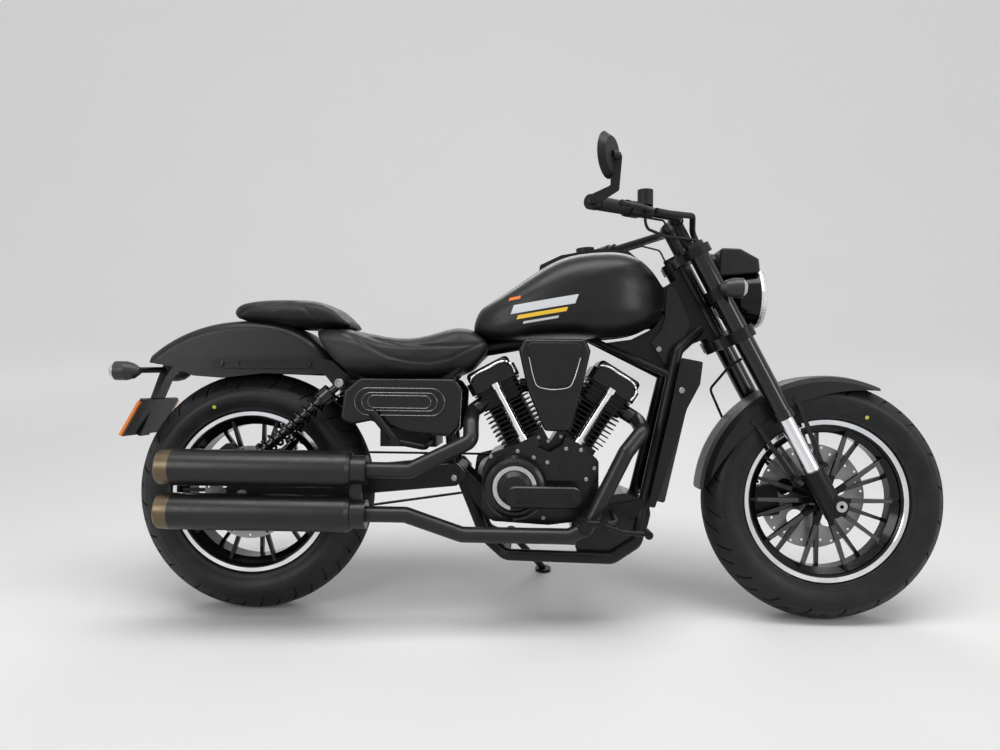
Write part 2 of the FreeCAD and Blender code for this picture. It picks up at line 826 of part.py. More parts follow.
def mirror(rise):
    tip, clamp_end, middle, facing = mirror_frame()
    centre = middle + along_z * rise
    plug = rod(tip + (tip - clamp_end).normalize() * -0.3, clamp_end, grip_radius + 1)
    stud = across(tip.x - 8, tip.z - 1, tip.y + 11, tip.y + 42, 10)
    back = centre - facing * mirror_depth
    reach = math.copysign(1, rise)
    outline = [(-16, -8), (4, -10), (47, 18), (53, 92), (47, 101), (33, 101), (30, 94), (28, 28), (-12, 9)]
    arm = side_plate([(tip.x + x, tip.z + reach * z) for x, z in outline],
                     tip.y + 42 - mirror_arm_wall, tip.y + 42, 5)
    bridge = rod(point(back.x + 14, tip.y + 40, centre.z), back + facing * 2, 9)
    shell = cone(back, centre, mirror_radius - 12, mirror_radius)
    dish = rod(centre - facing * 3, centre + facing, mirror_radius - 3)
    return joined([plug, stud, arm, bridge, shell]).cut(dish)


def mirrors():
    return Part.makeCompound([mirrored(mirror(mirror_rise)), mirror(-mirror_rise)])


def mirror_glass():
    centre, facing = mirror_frame()[2:]
    glasses = []
    for rise in (mirror_rise, -mirror_rise):
        spot = centre + along_z * rise
        glasses.append(rod(spot - facing * 3, spot - facing * 0.5, mirror_radius - 3.3))
    return Part.makeCompound([mirrored(glasses[0]), glasses[1]])


# Hoses and cables that turn with the fork

def brake_hose():
    low = along_bar(212)
    path = [point(low.x, -low.y, low.z - 17.5), point(1026, -236, 1004), point(1092, -158, 1000),
            fork_point(24, -66, 775), fork_point(21, -66, 444), fork_point(-40, 0, 430), fork_point(-98, 70, 392),
            fork_point(-104, 90, 250), fork_point(-100, 72, 96)]
    return bent_rod(path, hose_radius, 22)


def beside_bar(start, side, radius, way, onward):
    offset = way * (bar_radius + radius + 1)
    path = [along_bar(start) + offset, along_bar(300) + offset] + onward
    placed = [point(spot.x, side * spot.y, spot.z) for spot in path]
    return bent_rod(placed, radius, 24)


def bar_cables():
    loom = [point(1168, 104, 1066), fork_point(31, 42, 800), point(1230, 40, 925), point(1264, 24, 870)]
    wire = [point(1120, 100, 1012), fork_point(-40, 80, 757.9)]
    shell = headlamp_shell()
    cables = []
    for side, start in ((-1, 230.6), (1, 195.6)):
        cables.append(beside_bar(start, side, loom_radius, point(0.761, 0.641, 0), loom).cut(shell))
        cables.append(beside_bar(start, side, cable_radius, point(0, 0, -1), wire))
    return Part.makeCompound(cables)


# Frame

def down_tube_points(side):
    neck = fork_point(-clamp_offset - 20, 0, lower_clamp_base + lower_clamp_thickness + 40)
    return [point(neck.x - 4, side * 22, neck.z), point(1140, side * 62, 716), point(1050, side * 92, 318),
            point(1030, side * 104, 214), point(965, side * 112, 173), point(690, side * 112, 178),
            point(634, side * 60, 214), point(pivot_x + 8, side * (post_y - 4), pivot_z)]


def backbone_ends():
    front = fork_point(-clamp_offset, 0, lower_clamp_base + lower_clamp_thickness + 84)
    return front, point(600, 0, 715)


def neck_outline():
    upper = fork_point(-clamp_offset, 0, upper_clamp_base - 24)
    lower = fork_point(-clamp_offset, 0, lower_clamp_base + lower_clamp_thickness + 12)
    return [(upper.x, upper.z), (upper.x - 50, upper.z - 30), (1112, 800), (1106, 768), (1142, 716), (lower.x, lower.z)]


def stand_bracket():
    pivot = point(stand_x, stand_y, stand_z)
    tilt = math.radians(stand_axis_tilt)
    axis = point(0, math.cos(tilt), math.sin(tilt))
    return rod(pivot - axis * 26, pivot - axis * (stand_eye_half + end_clearance), 15)


@functools.cache
def frame():
    low = fork_point(-clamp_offset, 0, lower_clamp_base + lower_clamp_thickness + head_gap)
    high = fork_point(-clamp_offset, 0, upper_clamp_base - head_gap)
    front, rear = backbone_ends()
    pieces = [rod(low, high, head_tube_radius), rod(front, rear, backbone_radius)]
    pieces.append(side_plate(neck_outline(), -neck_half, neck_half))
    cross_y = post_y + 20
    pieces.append(across(rear.x, rear.z, -cross_y, cross_y, 17))
    pieces.append(across(pivot_x, pivot_z, -pivot_boss_half, pivot_boss_half, pivot_boss_radius))
    pieces.append(across(690, 178, -112, 112, 13))
    gusset = [(945, 735), (1022, 746), (1080, 776), (1108, 812), (1130, 800), (1142, 716), (1116, 664), (1104, 664)]
    for side in sides:
        pieces.append(side_plate(gusset, side * (neck_half - 5), side * neck_half))
        pieces.append(bent_rod(down_tube_points(side), down_tube_radius, 30))
        post = [point(rear.x, side * post_y, rear.z), point(pivot_x - 35, side * post_y, 640),
                point(pivot_x - 6, side * post_y, pivot_z)]
        pieces.append(bent_rod(post, post_radius, 40))
        pieces.append(rod(point(905, side * 18, 750), point(1122, side * 70, 648), brace_radius))
        lug = [(1052, 326), (1046, 282), (905, 268), (884, 274), (884, 292), (905, 300)]
        pieces.append(side_plate(lug, side * case_half, side * (case_half + 8)))
        hanger = [(pivot_x - 18, pivot_z + 8), (pivot_x + 14, pivot_z + 20), (676, 300), (676, 262), (640, 262)]
        pieces.append(side_plate(hanger, side * (pivot_boss_half - 18), side * (pivot_boss_half - 6)))
    pieces.append(stand_bracket())
    whole = joined(pieces)
    bore = rod(low - (high - low) * 0.2, high + (high - low) * 0.2, stem_radius + running_clearance)
    whole = whole.cut(bore)
    return whole.cut(across(pivot_x, pivot_z, -200, 200, pivot_bolt_radius + running_clearance))



@functools.cache
def seat_rails():
    front, rear = backbone_ends()
    shell = frame()
    rails = []
    for side in sides:
        rail = [point(rear.x - 6, side * (post_y + 12), rear.z - 4), point(520, side * rail_y, rail_z),
                point(shock_top_x + 14, side * rail_y, rail_z)]
        rails.append(bent_rod(rail, rail_radius, 60))
        inner = side * (guard_half + seat_clearance)
        half = strut_height / 2
        strut = [(shock_top_x + 22, rail_z - half + 2), (shock_top_x + 22, rail_z + half - 6), (226, 676), (186, 686),
                 (-62, 682), (-98, 676), (-98, 659), (-62, 655), (178, 657), (206, 640), (shock_top_x - 14, rail_z - half - 6)]
        plate = side_plate(strut, inner, inner + side * strut_wall, 7)
        groove = stadium(47, 668, 70, 6.5, inner + side * (strut_wall - 2.5), inner + side * (strut_wall + 5))
        plate = plate.cut(groove)
        boss = across(shock_top_x, shock_top_z, inner, side * (shock_y - shock_width / 2 - 0.6), 20)
        plate = plate.fuse(boss)
        stud = across(shock_top_x, shock_top_z, inner, side * (shock_y + shock_width / 2 + 6), shock_stud_radius)
        rails += [plate, stud]
    rails.append(across(440, rail_z, -rail_y, rail_y, 9))
    whole = joined(rails)
    for x in (rack_bolt_rear_x, rack_bolt_front_x):
        whole = whole.cut(across(x, rack_bolt_z, -300, 300, strut_bolt_radius))
    return whole.cut(shell)


def neck_covers():
    outline = [(1116, 892), (1138, 886), (1178, 790), (1150, 718), (1114, 674), (1074, 738), (1102, 772), (1110, 800)]
    covers = pair(side_plate(outline, -neck_half - 6, -neck_half - 0.1, 8))
    solid = frame()
    return Part.makeCompound([cover.cut(solid) for cover in covers])


def radiator_plane(height, forward):
    low = point(1050, 0, 318)
    up = (point(1140, 0, 716) - low).normalize()
    ahead = point(up.z, 0, -up.x)
    spot = low + up * height + ahead * forward
    return spot.x, spot.z


def radiator():
    outline = [radiator_plane(12, 15.3), radiator_plane(372, 15.3), radiator_plane(372, 42), radiator_plane(12, 42)]
    core = side_plate(outline, -122, 122)
    tanks = []
    for side in sides:
        ends = [radiator_plane(12, 15.3), radiator_plane(372, 15.3), radiator_plane(372, 46), radiator_plane(12, 46)]
        tanks.append(side_plate(ends, side * 108, side * 122, 6))
    return joined([core] + tanks)


def radiator_cover():
    outline = [radiator_plane(-6, 6), radiator_plane(250, 6), radiator_plane(386, 2), radiator_plane(388, 58),
               radiator_plane(330, 64), radiator_plane(262, 46), radiator_plane(-6, 24)]
    panels = [side_plate(outline, side * 122.3, side * 128, 5) for side in sides]
    panels.append(side_plate([radiator_plane(376, 20), radiator_plane(376, 56), radiator_plane(382, 56),
                              radiator_plane(382, 20)], -124, 124))
    return joined(panels)


# Swingarm, shocks and belt

def swingarm():
    arms = []
    for inner, side in ((right_arm_y, -1), (left_arm_y, 1)):
        outer = inner + side * arm_wall
        half = arm_axle_height / 2
        outline = [(-46, rear_axle_z - half), (-46, rear_axle_z + half), (0, rear_axle_z + half + 8),
                   (pivot_x + 6, pivot_z + arm_pivot_height / 2), (pivot_x + 32, pivot_z),
                   (pivot_x + 6, pivot_z - arm_pivot_height / 2), (20, rear_axle_z - half)]
        arms.append(side_plate(outline, inner, outer, 10))
        lug = [(-10, rear_axle_z + half), (2, shock_foot_z + 13), (38, shock_foot_z + 13), (70, rear_axle_z + half + 6)]
        lug_outer = side * (shock_y - shock_width / 2 - seat_clearance)
        lug_inner = side * (shock_y - shock_width / 2 - lug_wall)
        arms.append(side_plate(lug, lug_inner, lug_outer))
        arms.append(across(shock_foot_x, shock_foot_z, lug_inner, side * (shock_y + shock_width / 2 + 5), shock_stud_radius))
        spacer_end = side * (pivot_boss_half + end_clearance)
        arms.append(across(pivot_x, pivot_z, spacer_end, inner + side * 2, 17))
    arms.append(across(pivot_x, pivot_z, right_arm_y - arm_wall - 8, left_arm_y + arm_wall + 8, pivot_bolt_radius))
    brace = [(378, 347), (378, 383), (432, 387), (432, 351)]
    arms.append(side_plate(brace, right_arm_y - 2, left_arm_y + 2, 8))
    whole = joined(arms)
    return whole.cut(across(0, rear_axle_z, -300, 300, rear_axle_radius + running_clearance))


def spring(low, high):
    middle = spring_radius - spring_wire
    corners = []
    for side in range(spring_wire_sides + 1):
        angle = math.radians(360 * (side + 0.5) / spring_wire_sides)
        corners.append(point(middle + spring_wire * math.cos(angle), 0, spring_wire * math.sin(angle)))
    helix = Part.makeHelix((high - low) / spring_turns, high - low, middle)
    coil = Part.Wire(helix.Edges).makePipeShell([Part.makePolygon(corners)], True, True)
    coil.translate(point(0, 0, low))
    return coil


def shocks():
    top = point(shock_top_x, -shock_y, shock_top_z)
    foot = point(shock_foot_x, -shock_y, shock_foot_z)
    length = (top - foot).Length
    half = shock_width / 2
    foot_top = spring_foot + spring_foot_height
    head_base = length - spring_head - spring_head_height
    pieces = [upright(0, spring_foot + 2, half - 0.2),
              upright(spring_foot, foot_top, spring_radius),
              upright(spring_foot, length - spring_head, damper_radius),
              upright(head_base, length - spring_head, spring_radius),
              upright(length - spring_head - 2, length, half - 0.2),
              spring(foot_top - spring_wire / 2, head_base + spring_wire / 2)]
    body = joined(pieces)
    body.Placement = FreeCAD.Placement(foot, FreeCAD.Rotation(point(0, 0, 1), top - foot))
    for end in (top, foot):
        body = body.fuse(across(end.x, end.z, -shock_y - half, -shock_y + half, shock_eye_radius))
        body = body.cut(across(end.x, end.z, -shock_y - 40, -shock_y + 40, shock_stud_radius + seat_clearance))
    return Part.makeCompound(pair(body))


def belt_loop(offset):
    rear = (0.0, rear_axle_z, rear_pulley_radius + belt_clearance + offset)
    front = (front_pulley_x, front_pulley_z, front_pulley_radius + belt_clearance + offset)
    run = math.hypot(front[0] - rear[0], front[1] - rear[1])
    tilt = math.atan2(front[1] - rear[1], front[0] - rear[0])
    spread = math.acos((rear[2] - front[2]) / run)

    def rim(pulley, angle):
        return point(pulley[0] + pulley[2] * math.cos(angle), belt_y, pulley[1] + pulley[2] * math.sin(angle))

    upper = tilt + spread
    lower = tilt - spread
    edges = [Part.Arc(rim(rear, upper), rim(rear, tilt + math.pi), rim(rear, lower)).toShape(),
             Part.LineSegment(rim(rear, lower), rim(front, lower)).toShape(),
             Part.Arc(rim(front, lower), rim(front, tilt), rim(front, upper)).toShape(),
             Part.LineSegment(rim(front, upper), rim(rear, upper)).toShape()]
    return Part.Face(Part.Wire(edges)).extrude(along_y * belt_width)


def drive_belt():
    return belt_loop(belt_thickness).cut(belt_loop(0))


def front_pulley():
    pulley = across(front_pulley_x, front_pulley_z, belt_y - 2, belt_y + belt_width + 2, front_pulley_radius)
    shaft = across(front_pulley_x, front_pulley_z, belt_y - 12, belt_y + belt_width + 8, 14)
    return joined([pulley, shaft])


def rear_caliper():
    reach = rear_disc_radius - 12
    spoke_face = rear_hub_half - spoke_plane_inset + spoke_depth / 2
    body = block(-40, 40, -spoke_face - caliper_clearance, right_arm_y + 8, reach - 24, reach + 28)
    body = body.makeFillet(9, [edge for edge in body.Edges if abs(edge.tangentAt(0).y) > 0.9])
    gap = disc_thickness / 2 + pad_clearance
    slot = block(-60, 60, -disc_plane - gap, -disc_plane + gap, reach - 40, rear_disc_radius + 3)
    bracket = block(-26, 26, right_arm_y + 0.3, right_arm_y + 10, rear_axle_radius + 12, reach)
    caliper = joined([body, bracket]).cut(slot)
    caliper.rotate(point(0, 0, 0), along_y, -38)
    caliper.translate(point(0, 0, rear_axle_z))
    return caliper


# Engine

def engine_frame(shape, angle):
    shape.rotate(point(0, 0, 0), along_y, angle)
    shape.translate(point(crank_x, 0, crank_z))
    return shape


def cylinder_angles():
    return (-rear_cylinder_angle, front_cylinder_angle)


@functools.cache
def crankcase():
    outline = [(652, 262), (624, 300), (626, 400), (650, 440), (706, 462), (800, 440), (880, 466), (930, 424),
               (930, 330), (905, 268), (800, 254)]
    case = side_plate(outline, -case_half, case_half, 16)
    decks = []
    for angle in cylinder_angles():
        deck = Part.makeBox(2 * barrel_radius + 12, 2 * barrel_radius + 12, 60,
                            point(-barrel_radius - 6, -barrel_radius - 6, deck_height - 60))
        decks.append(engine_frame(deck, angle))
    whole = joined([case] + decks)
    pocket = block(500, front_pulley_x + front_pulley_radius + 16, belt_y - 4, 300,
                   front_pulley_z - front_pulley_radius - 14, front_pulley_z + front_pulley_radius + 14)
    whole = whole.cut(pocket)
    shaft = across(front_pulley_x, front_pulley_z, belt_y - 12.3, 300, 14.3)
    return whole.cut(shaft).cut(frame())


def belly():
    outline = [(1062, 316), (1066, 286), (1058, 252), (1036, 214), (996, 186), (950, 180), (876, 180), (858, 262),
               (905, 276), (932, 330), (1000, 340)]
    return side_plate(outline, -98, 98, 12).cut(frame()).cut(crankcase())


def finned_barrel(angle):
    pieces = [rod(point(0, 0, deck_height), point(0, 0, deck_height + barrel_height), barrel_radius)]
    pitch = barrel_height / fin_count
    for index in range(fin_count):
        base = deck_height + pitch * index + pitch * 0.4
        shrink = 8 if index == 0 else 0
        fin = Part.makeBox(2 * fin_half_width - shrink, 2 * fin_half_depth - 2 * shrink, fin_thickness,
                           point(-fin_half_width + shrink / 2, -fin_half_depth + shrink, base))
        corners = [edge for edge in fin.Edges if abs(edge.tangentAt(0).z) > 0.9]
        pieces.append(fin.makeFillet(16, corners))
    return engine_frame(joined(pieces), angle)


@functools.cache
def cylinders():
    return Part.makeCompound([finned_barrel(angle) for angle in cylinder_angles()])


@functools.cache
def cylinder_heads():
    heads = []
    base = deck_height + barrel_height
    for angle in cylinder_angles():
        core = Part.makeBox(2 * fin_half_width - 14, 2 * fin_half_depth - 16, head_height,
                            point(-fin_half_width + 7, -fin_half_depth + 8, base))
        corners = [edge for edge in core.Edges if abs(edge.tangentAt(0).z) > 0.9]
        pieces = [core.makeFillet(16, corners)]
        for index in range(4):
            level = base + 6 + index * head_height / 4
            fin = Part.makeBox(2 * fin_half_width, 2 * fin_half_depth, fin_thickness,
                               point(-fin_half_width, -fin_half_depth, level))
            corners = [edge for edge in fin.Edges if abs(edge.tangentAt(0).z) > 0.9]
            pieces.append(fin.makeFillet(14, corners))
        heads.append(engine_frame(joined(pieces), angle))
    return Part.makeCompound(heads)


def rocker_boxes():
    boxes = []
    base = deck_height + barrel_height + head_height
    for angle in cylinder_angles():
        width = rocker_half_width
        depth = rocker_half_depth
        low = Part.makeBox(2 * width, 2 * depth, rocker_height * 0.55, point(-width, -depth, base))
        high = Part.makeBox(2 * width - 16, 2 * depth - 18, rocker_height, point(8 - width, 9 - depth, base))
        shapes = []
        for shape, bend in ((low, 18), (high, 16)):
            corners = [edge for edge in shape.Edges if abs(edge.tangentAt(0).z) > 0.9]
            rounded = shape.makeFillet(bend, corners)
            shapes.append(rounded)
        top = joined(shapes)
        crest = [edge for edge in top.Edges if abs(edge.BoundBox.ZMin - base - rocker_height) < 0.1]
        top = top.makeFillet(12, crest)
        boxes.append(engine_frame(top, angle))
    return Part.makeCompound(boxes)


def pushrod_tubes():
    tubes = []
    for angle in cylinder_angles():
        low = deck_height - 6
        high = deck_height + barrel_height + head_height + 4
        pieces = [rod(point(0, -pushrod_y, low), point(0, -pushrod_y, high), pushrod_radius),
                  rod(point(0, -pushrod_y, low), point(0, -pushrod_y, low + 14), pushrod_radius + 5),
                  rod(point(0, -pushrod_y, high - 14), point(0, -pushrod_y, high), pushrod_radius + 4)]
        tubes.append(engine_frame(joined(pieces), angle))
    return Part.makeCompound(tubes)


def cam_cover():
    outline = [(676, 430), (704, 452), (756, 466), (800, 444), (846, 470), (884, 456), (914, 430), (900, 374), (700, 374)]
    cover = side_plate(outline, -case_half - 0.1, -case_half - 26, 14)
    lips = []
    for angle in cylinder_angles():
        lip = Part.makeBox(64, 26, 30, point(-32, -case_half - 26, deck_height - 36))
        lips.append(engine_frame(lip, angle))
    cover = joined([cover] + lips)
    window = across(847, 410, -case_half - 29, -case_half - 20, 22)
    disc = across(clutch_x, clutch_z, -300, 300, clutch_radius + 0.2)
    return joined([cover, window]).cut(disc).cut(pushrod_tubes())


def clutch_cover():
    face = -case_half - clutch_depth
    profile = [(0, -case_half - 0.1), (clutch_radius, -case_half - 0.1), (clutch_radius, face + 16),
               (clutch_radius - 7, face + 5), (clutch_radius - 16, face), (clutch_radius - 22, face),
               (clutch_radius - 26, face + 6), (clutch_radius - 40, face + 6), (clutch_radius - 52, face - 2),
               (0, face - 4)]
    return turned(profile, clutch_x, clutch_z)


def oblong_cover():
    half = oblong_height / 2
    outline = [(704, 331 - half), (704, 331 + half), (884, 331 + half), (884, 331 - half)]
    cover = side_plate(outline, -case_half - 0.1, -case_half - 50, half - 1)
    ribs = [block(736, 852, -case_half - 55, -case_half - 48, z - 3, z + 3) for z in (316, 331, 346)]
    whole = joined([cover] + ribs)
    return whole.cut(across(clutch_x, clutch_z, -300, 300, clutch_radius + 0.3))


def left_covers():
    wall = case_half + 0.1
    outline = [(718, 458), (890, 458), (924, 404), (914, 330), (880, 308), (732, 290), (716, 320)]
    base = side_plate(outline, wall, wall + 22, 24)
    dome = turned([(0, wall), (78, wall), (78, wall + 34), (66, wall + 46), (40, wall + 50), (0, wall + 50)],
                  crank_x + 8, crank_z + 4)
    guard_outline = [(588, 336), (600, 420), (660, 436), (709, 420), (709, 336), (660, 312)]
    guard = side_plate(guard_outline, belt_y + belt_width + 8.4, belt_y + belt_width + 14, 18)
    lug = block(690, 709, wall, belt_y + belt_width + 14, 440, 452)
    return joined([base, dome]), joined([guard, block(660, 712, belt_y + belt_width + 8.4, belt_y + belt_width + 14, 400, 440)])


def air_cleaner():
    outline = [(786, 502), (742, 606), (718, 708), (732, 738), (888, 738), (902, 708), (880, 606), (853, 502)]
    body = softened(side_plate(outline, -118, -160, 14), -160, 10)
    face = [(738, 719), (751, 728), (868, 728), (881, 717), (852, 624), (842, 615), (774, 615), (763, 625)]
    raised = softened(side_plate(face, -156, -168, 5), -168, 3)
    boot = across(812, 622, -10, -120, 24)
    manifold = rod(point(722, -10, 620), point(894, -10, 620), 19)
    return joined([body, raised, boot, manifold]).cut(cylinder_heads())


# Exhaust

def exhaust_pipes():
    out = -pipe_y
    front = [point(985, -52, 560), point(1034, -60, 530), point(1036, -150, 505), point(990, out, 452), point(896, out, 262),
             point(850, out, 240), point(580, out, 240), point(440, -muffler_y, lower_muffler_z),
             point(muffler_x + muffler_length + 10, -muffler_y, lower_muffler_z)]
    rear = [point(630, -58, 573), point(596, -72, 548), point(598, -150, 520), point(600, out, 476),
            point(448, -muffler_y, upper_muffler_z),
            point(muffler_x + muffler_length + 10, -muffler_y, upper_muffler_z)]
    heads = cylinder_heads()
    pipes = []
    for path, bend in ((front, 24), (rear, 22)):
        pipes.append(bent_rod(path, pipe_radius, bend).cut(heads).cut(cylinders()))
    return Part.makeCompound(pipes)


def mufflers():
    cans = []
    for z in (upper_muffler_z, lower_muffler_z):
        back = muffler_x
        front = muffler_x + muffler_length
        profile = [(back, muffler_mouth), (back, muffler_radius - 6), (back + 4, muffler_radius - 2),
                   (back + 36, muffler_radius), (front - 10, muffler_radius), (front, muffler_radius - 6),
                   (front + 2, collar_radius), (front + collar_length, collar_radius),
                   (front + collar_length, pipe_radius + pipe_clearance), (front + 4, pipe_radius + pipe_clearance),
                   (front + 4, 0), (back + 60, 0), (back + 60, muffler_mouth)]
        cans.append(bullet(profile, -muffler_y, z))
    end = muffler_x + muffler_length
    bracket = [(end - 5, lower_muffler_z + 30), (end - 5, upper_muffler_z - 30), (end + 25, upper_muffler_z - 30),
               (end + 25, lower_muffler_z + 30)]
    return joined(cans + [side_plate(bracket, -muffler_y - 3, -muffler_y + 3)])


# Body panels

@functools.cache
def tank_solid():
    stations = [(597, 52, 752, 784), (640, 92, 741, 842), (730, 124, 739, 902), (830, 146, 742, 960),
                (930, 150, 746, 978), (1020, 128, 757, 970), (1078, 90, 786, 926), (1106, 50, 832, 892)]
    return lofted(stations, 0.42, 0.62)


def fuel_tank():
    front, rear = backbone_ends()
    run = (rear - front).normalize()
    tunnel = rod(front - run * 60, rear + run * 60, backbone_radius + 10)
    radius = backbone_radius + 10
    start = front - run * 60
    end = rear + run * 60
    slot = side_plate([(start.x, start.z), (end.x, end.z), (end.x, end.z - 160), (start.x, start.z - 160)], -radius, radius)
    return tank_solid().cut(tunnel).cut(slot)


def tank_console():
    outline = [(770, 900), (772, 946), (830, 974), (930, 992), (1012, 987), (1062, 944), (1062, 900)]
    strip = side_plate(outline, -30, 30, 8)
    cap = rod(point(900, 0, 960), point(897, 0, 998), 25)
    return joined([strip, cap]).cut(tank_solid())


def guard_line(inset):
    return [(-268 + inset, 690 - inset), (-212, 730 - inset), (-120, 768 - inset), (0, 783 - inset),
            (110 - inset * 0.4, 766 - inset * 0.9), (200 - inset * 0.8, 706 - inset * 0.7), (262 - inset, 640)]


def guard_solid(inset, floor):
    half = guard_half - inset
    crest = [point(x, -half, z) for x, z in guard_line(inset)]
    curve = Part.BSplineCurve()
    curve.interpolate(crest)
    corners = [crest[-1], point(262 - inset, -half, floor), point(-276 + inset, -half, floor), crest[0]]
    edges = [curve.toShape()] + [Part.LineSegment(a, b).toShape() for a, b in zip(corners, corners[1:])]
    solid = Part.Face(Part.Wire(edges)).extrude(along_y * 2 * half)
    ridge = []
    for edge in solid.Edges:
        box = edge.BoundBox
        if box.YMax - box.YMin < 0.01 and box.ZMax > 740:
            ridge.append(edge)
    return solid.makeFillet(guard_fillet - inset, ridge)


@functools.cache
def rear_guard():
    outer = guard_solid(0, 560)
    inner = guard_solid(panel_wall, 500)
    shell = outer.cut(inner)
    lower = [(-400, 400), (-400, 690), (-272, 668), (-202, 657), (-150, 634), (-73, 629), (41, 643), (150, 640), (218, 645),
             (300, 645), (300, 400)]
    return shell.cut(side_plate(lower, -200, 200))


def rider_seat():
    stations = [(150, 118, 645, 765.5), (200, 138, 640, 765.5), (240, 150, 637, 763), (310, 162, 635.2, 751),
                (400, 166, 635.2, 737), (457, 160, 635.2, 741), (513, 140, 637, 758), (556, 118, 643, 770),
                (596, 102, 668, 762), (634, 84, 706, 736)]
    seat = lofted(stations, 0.5, 0.55)
    behind = [(100, 600), (100, 800), (160, 800), (178, 764), (202, 725), (222, 699), (242, 677), (264, 657),
              (284, 634), (284, 600)]
    seat = seat.cut(side_plate(behind, -250, 250))
    tank = tank_solid().translated(point(-seat_clearance, 0, -seat_clearance))
    return seat.cut(guard_solid(-seat_clearance, 560)).cut(frame()).cut(seat_rails()).cut(tank)


def pillion_seat():
    stations = [(-54, 62, 795, 811), (-32, 86, 786, 829), (10, 102, 780, 836), (60, 110, 775, 838),
                (140, 116, 770, 838), (190, 114, 768, 833), (226, 106, 767.6, 814), (250, 94, 767.6, 792),
                (268, 78, 767.6, 776)]
    seat = lofted(stations, 0.5, 0.55)
    return seat.cut(guard_solid(-seat_clearance, 560))


def side_covers():
    outline = [(300, 627), (312, 633), (550, 633), (572, 606), (568, 508), (546, 483), (429, 494), (338, 522),
               (290, 512), (260, 524), (268, 598)]
    outer = softened(side_plate(outline, -cover_y + cover_depth, -cover_y, 12), -cover_y, cover_rounding)
    centre_x = 422
    centre_z = 564
    inset = [(centre_x + (x - centre_x) * 0.965, centre_z + (z - centre_z) * 0.93) for x, z in outline]
    hollow = side_plate(inset, -cover_y + cover_depth + 1, -cover_y + panel_wall, 10)
    shell = outer.cut(softened(hollow, -cover_y + panel_wall, cover_rounding - 2))
    steps = []
    for half_length, half_height, lift in ((117, 36, 4), (98, 24, 5.5), (82, 17, 8)):
        steps.append(stadium(414, 572, half_length, half_height, -cover_y + 0.5, -cover_y - lift))
    moat = stadium(414, 572, 109, 30, -cover_y - 1, -cover_y - 20)
    badge = joined([steps[0].cut(moat)] + steps[1:])
    pegs = [across(x, 572, -cover_y + 1, -box_half - 0.1, 7) for x in (370, 480)]
    cover = joined([shell, badge] + pegs)
    return Part.makeCompound(pair(cover))


def battery_box():
    return block(352, 502, -box_half, box_half, 452, rail_z - 9 - seat_clearance)


# Foot controls

@functools.cache
def foot_pegs():
    pegs = []
    for side in sides:
        arm = [point(965, side * 102, 291), point(965, side * 232, 280), point(878, side * 232, 284)]
        bar = bent_rod(arm, 9, 24)
        peg = rod(point(878, side * 222, 284), point(878, side * 312, 284), 13)
        flare = rod(point(878, side * 228, 284), point(878, side * 236, 284), 17)
        ball = rod(point(878, side * 302, 284), point(878, side * 308, 284), 16)
        pegs.append(joined([bar, peg, flare, ball]).cut(frame()))
    return Part.makeCompound(pegs)


def foot_levers():
    levers = []
    for side in sides:
        y = side * 236
        pivot = across(930, 281, side * 226, side * 246, 12)
        arm = bent_rod([point(930, y + side * 6, 281), point(975, y + side * 6, 264), point(1034, y + side * 6, 261)], 6, 18)
        pad = rod(point(1036, side * 216, 261), point(1036, side * 258, 261), 10)
        levers.append(joined([pivot, arm, pad]).cut(foot_pegs()))
    return Part.makeCompound(levers)


def pillion_pegs():
    pegs = []
    for side in sides:
        arm = bent_rod([point(488, side * 76, 470), point(480, side * 150, 456), point(410, side * 169, 471)], 8, 16)
        joint = across(408, 472, side * 154, side * 184, 12)
        peg = rod(point(404, side * 169, 477), point(346, side * 169, 546), 11)
        pegs.append(joined([arm, joint, peg]).cut(battery_box()))
    return Part.makeCompound(pegs)


# Tail

def signal_arm(side, radius):
    return rod(point(-262, side * 20, 650), point(-292, side * 127, 646), radius)


@functools.cache
def tail_bracket():
    outline = [(-214, 727), (-262, 692), (-264, 664), (-274, 640), (-334, 470), (-326, 466), (-258, 628), (-214, 690)]
    spine = side_plate(outline, -26, 26)
    board = side_plate([(-286, 572), (-279, 568), (-333, 470), (-340, 474)], -104, 104)
    arms = [signal_arm(side, 8) for side in sides]
    return joined([spine, board] + arms).cut(rear_guard())


def rear_signals():
    lamps = []
    for side in sides:
        profile = [(-262, 0), (-266, 9), (-282, 20), (-302, signal_radius), (-330, signal_radius), (-343, 14), (-346, 0)]
        lamp = bullet(profile, side * 146, 644)
        lamps.append(lamp.cut(signal_arm(side, 8.3)))
    return Part.makeCompound(lamps)


def tail_lamp():
    outline = [(-281, 672), (-277, 690), (-266, 694), (-268, 676), (-269, 664)]
    return side_plate(outline, -48, 48).cut(guard_solid(-seat_clearance, 560)).cut(tail_bracket())


def reflectors():
    discs = []
    for side in sides:
        plate = side_plate([(-288, 566), (-282, 562), (-332, 472), (-338, 476)], side * 104.2, side * 114)
        discs.append(plate)
    return Part.makeCompound(discs)


# Side stand

def side_stand():
    pivot = point(stand_x, stand_y, stand_z)
    foot = point(stand_foot_x, stand_foot_y, upright_ground(stand_foot_y) + stand_foot_thickness)
    tilt = math.radians(stand_axis_tilt)
    axis = point(0, math.cos(tilt), math.sin(tilt))
    eye = rod(pivot - axis * stand_eye_half, pivot + axis * stand_eye_half, 16)
    knee = pivot + (foot - pivot) * 0.3 + point(-6, 6, 4)
    leg = bent_rod([pivot, knee, foot], stand_radius, 60)
    lean = math.radians(lean_angle)
    floor_normal = point(0, -math.sin(lean), math.cos(lean))
    base = point(stand_foot_x, stand_foot_y, upright_ground(stand_foot_y))
    pad = rod(base, base + floor_normal * stand_foot_thickness, stand_foot_radius)
    return joined([eye, leg, pad])


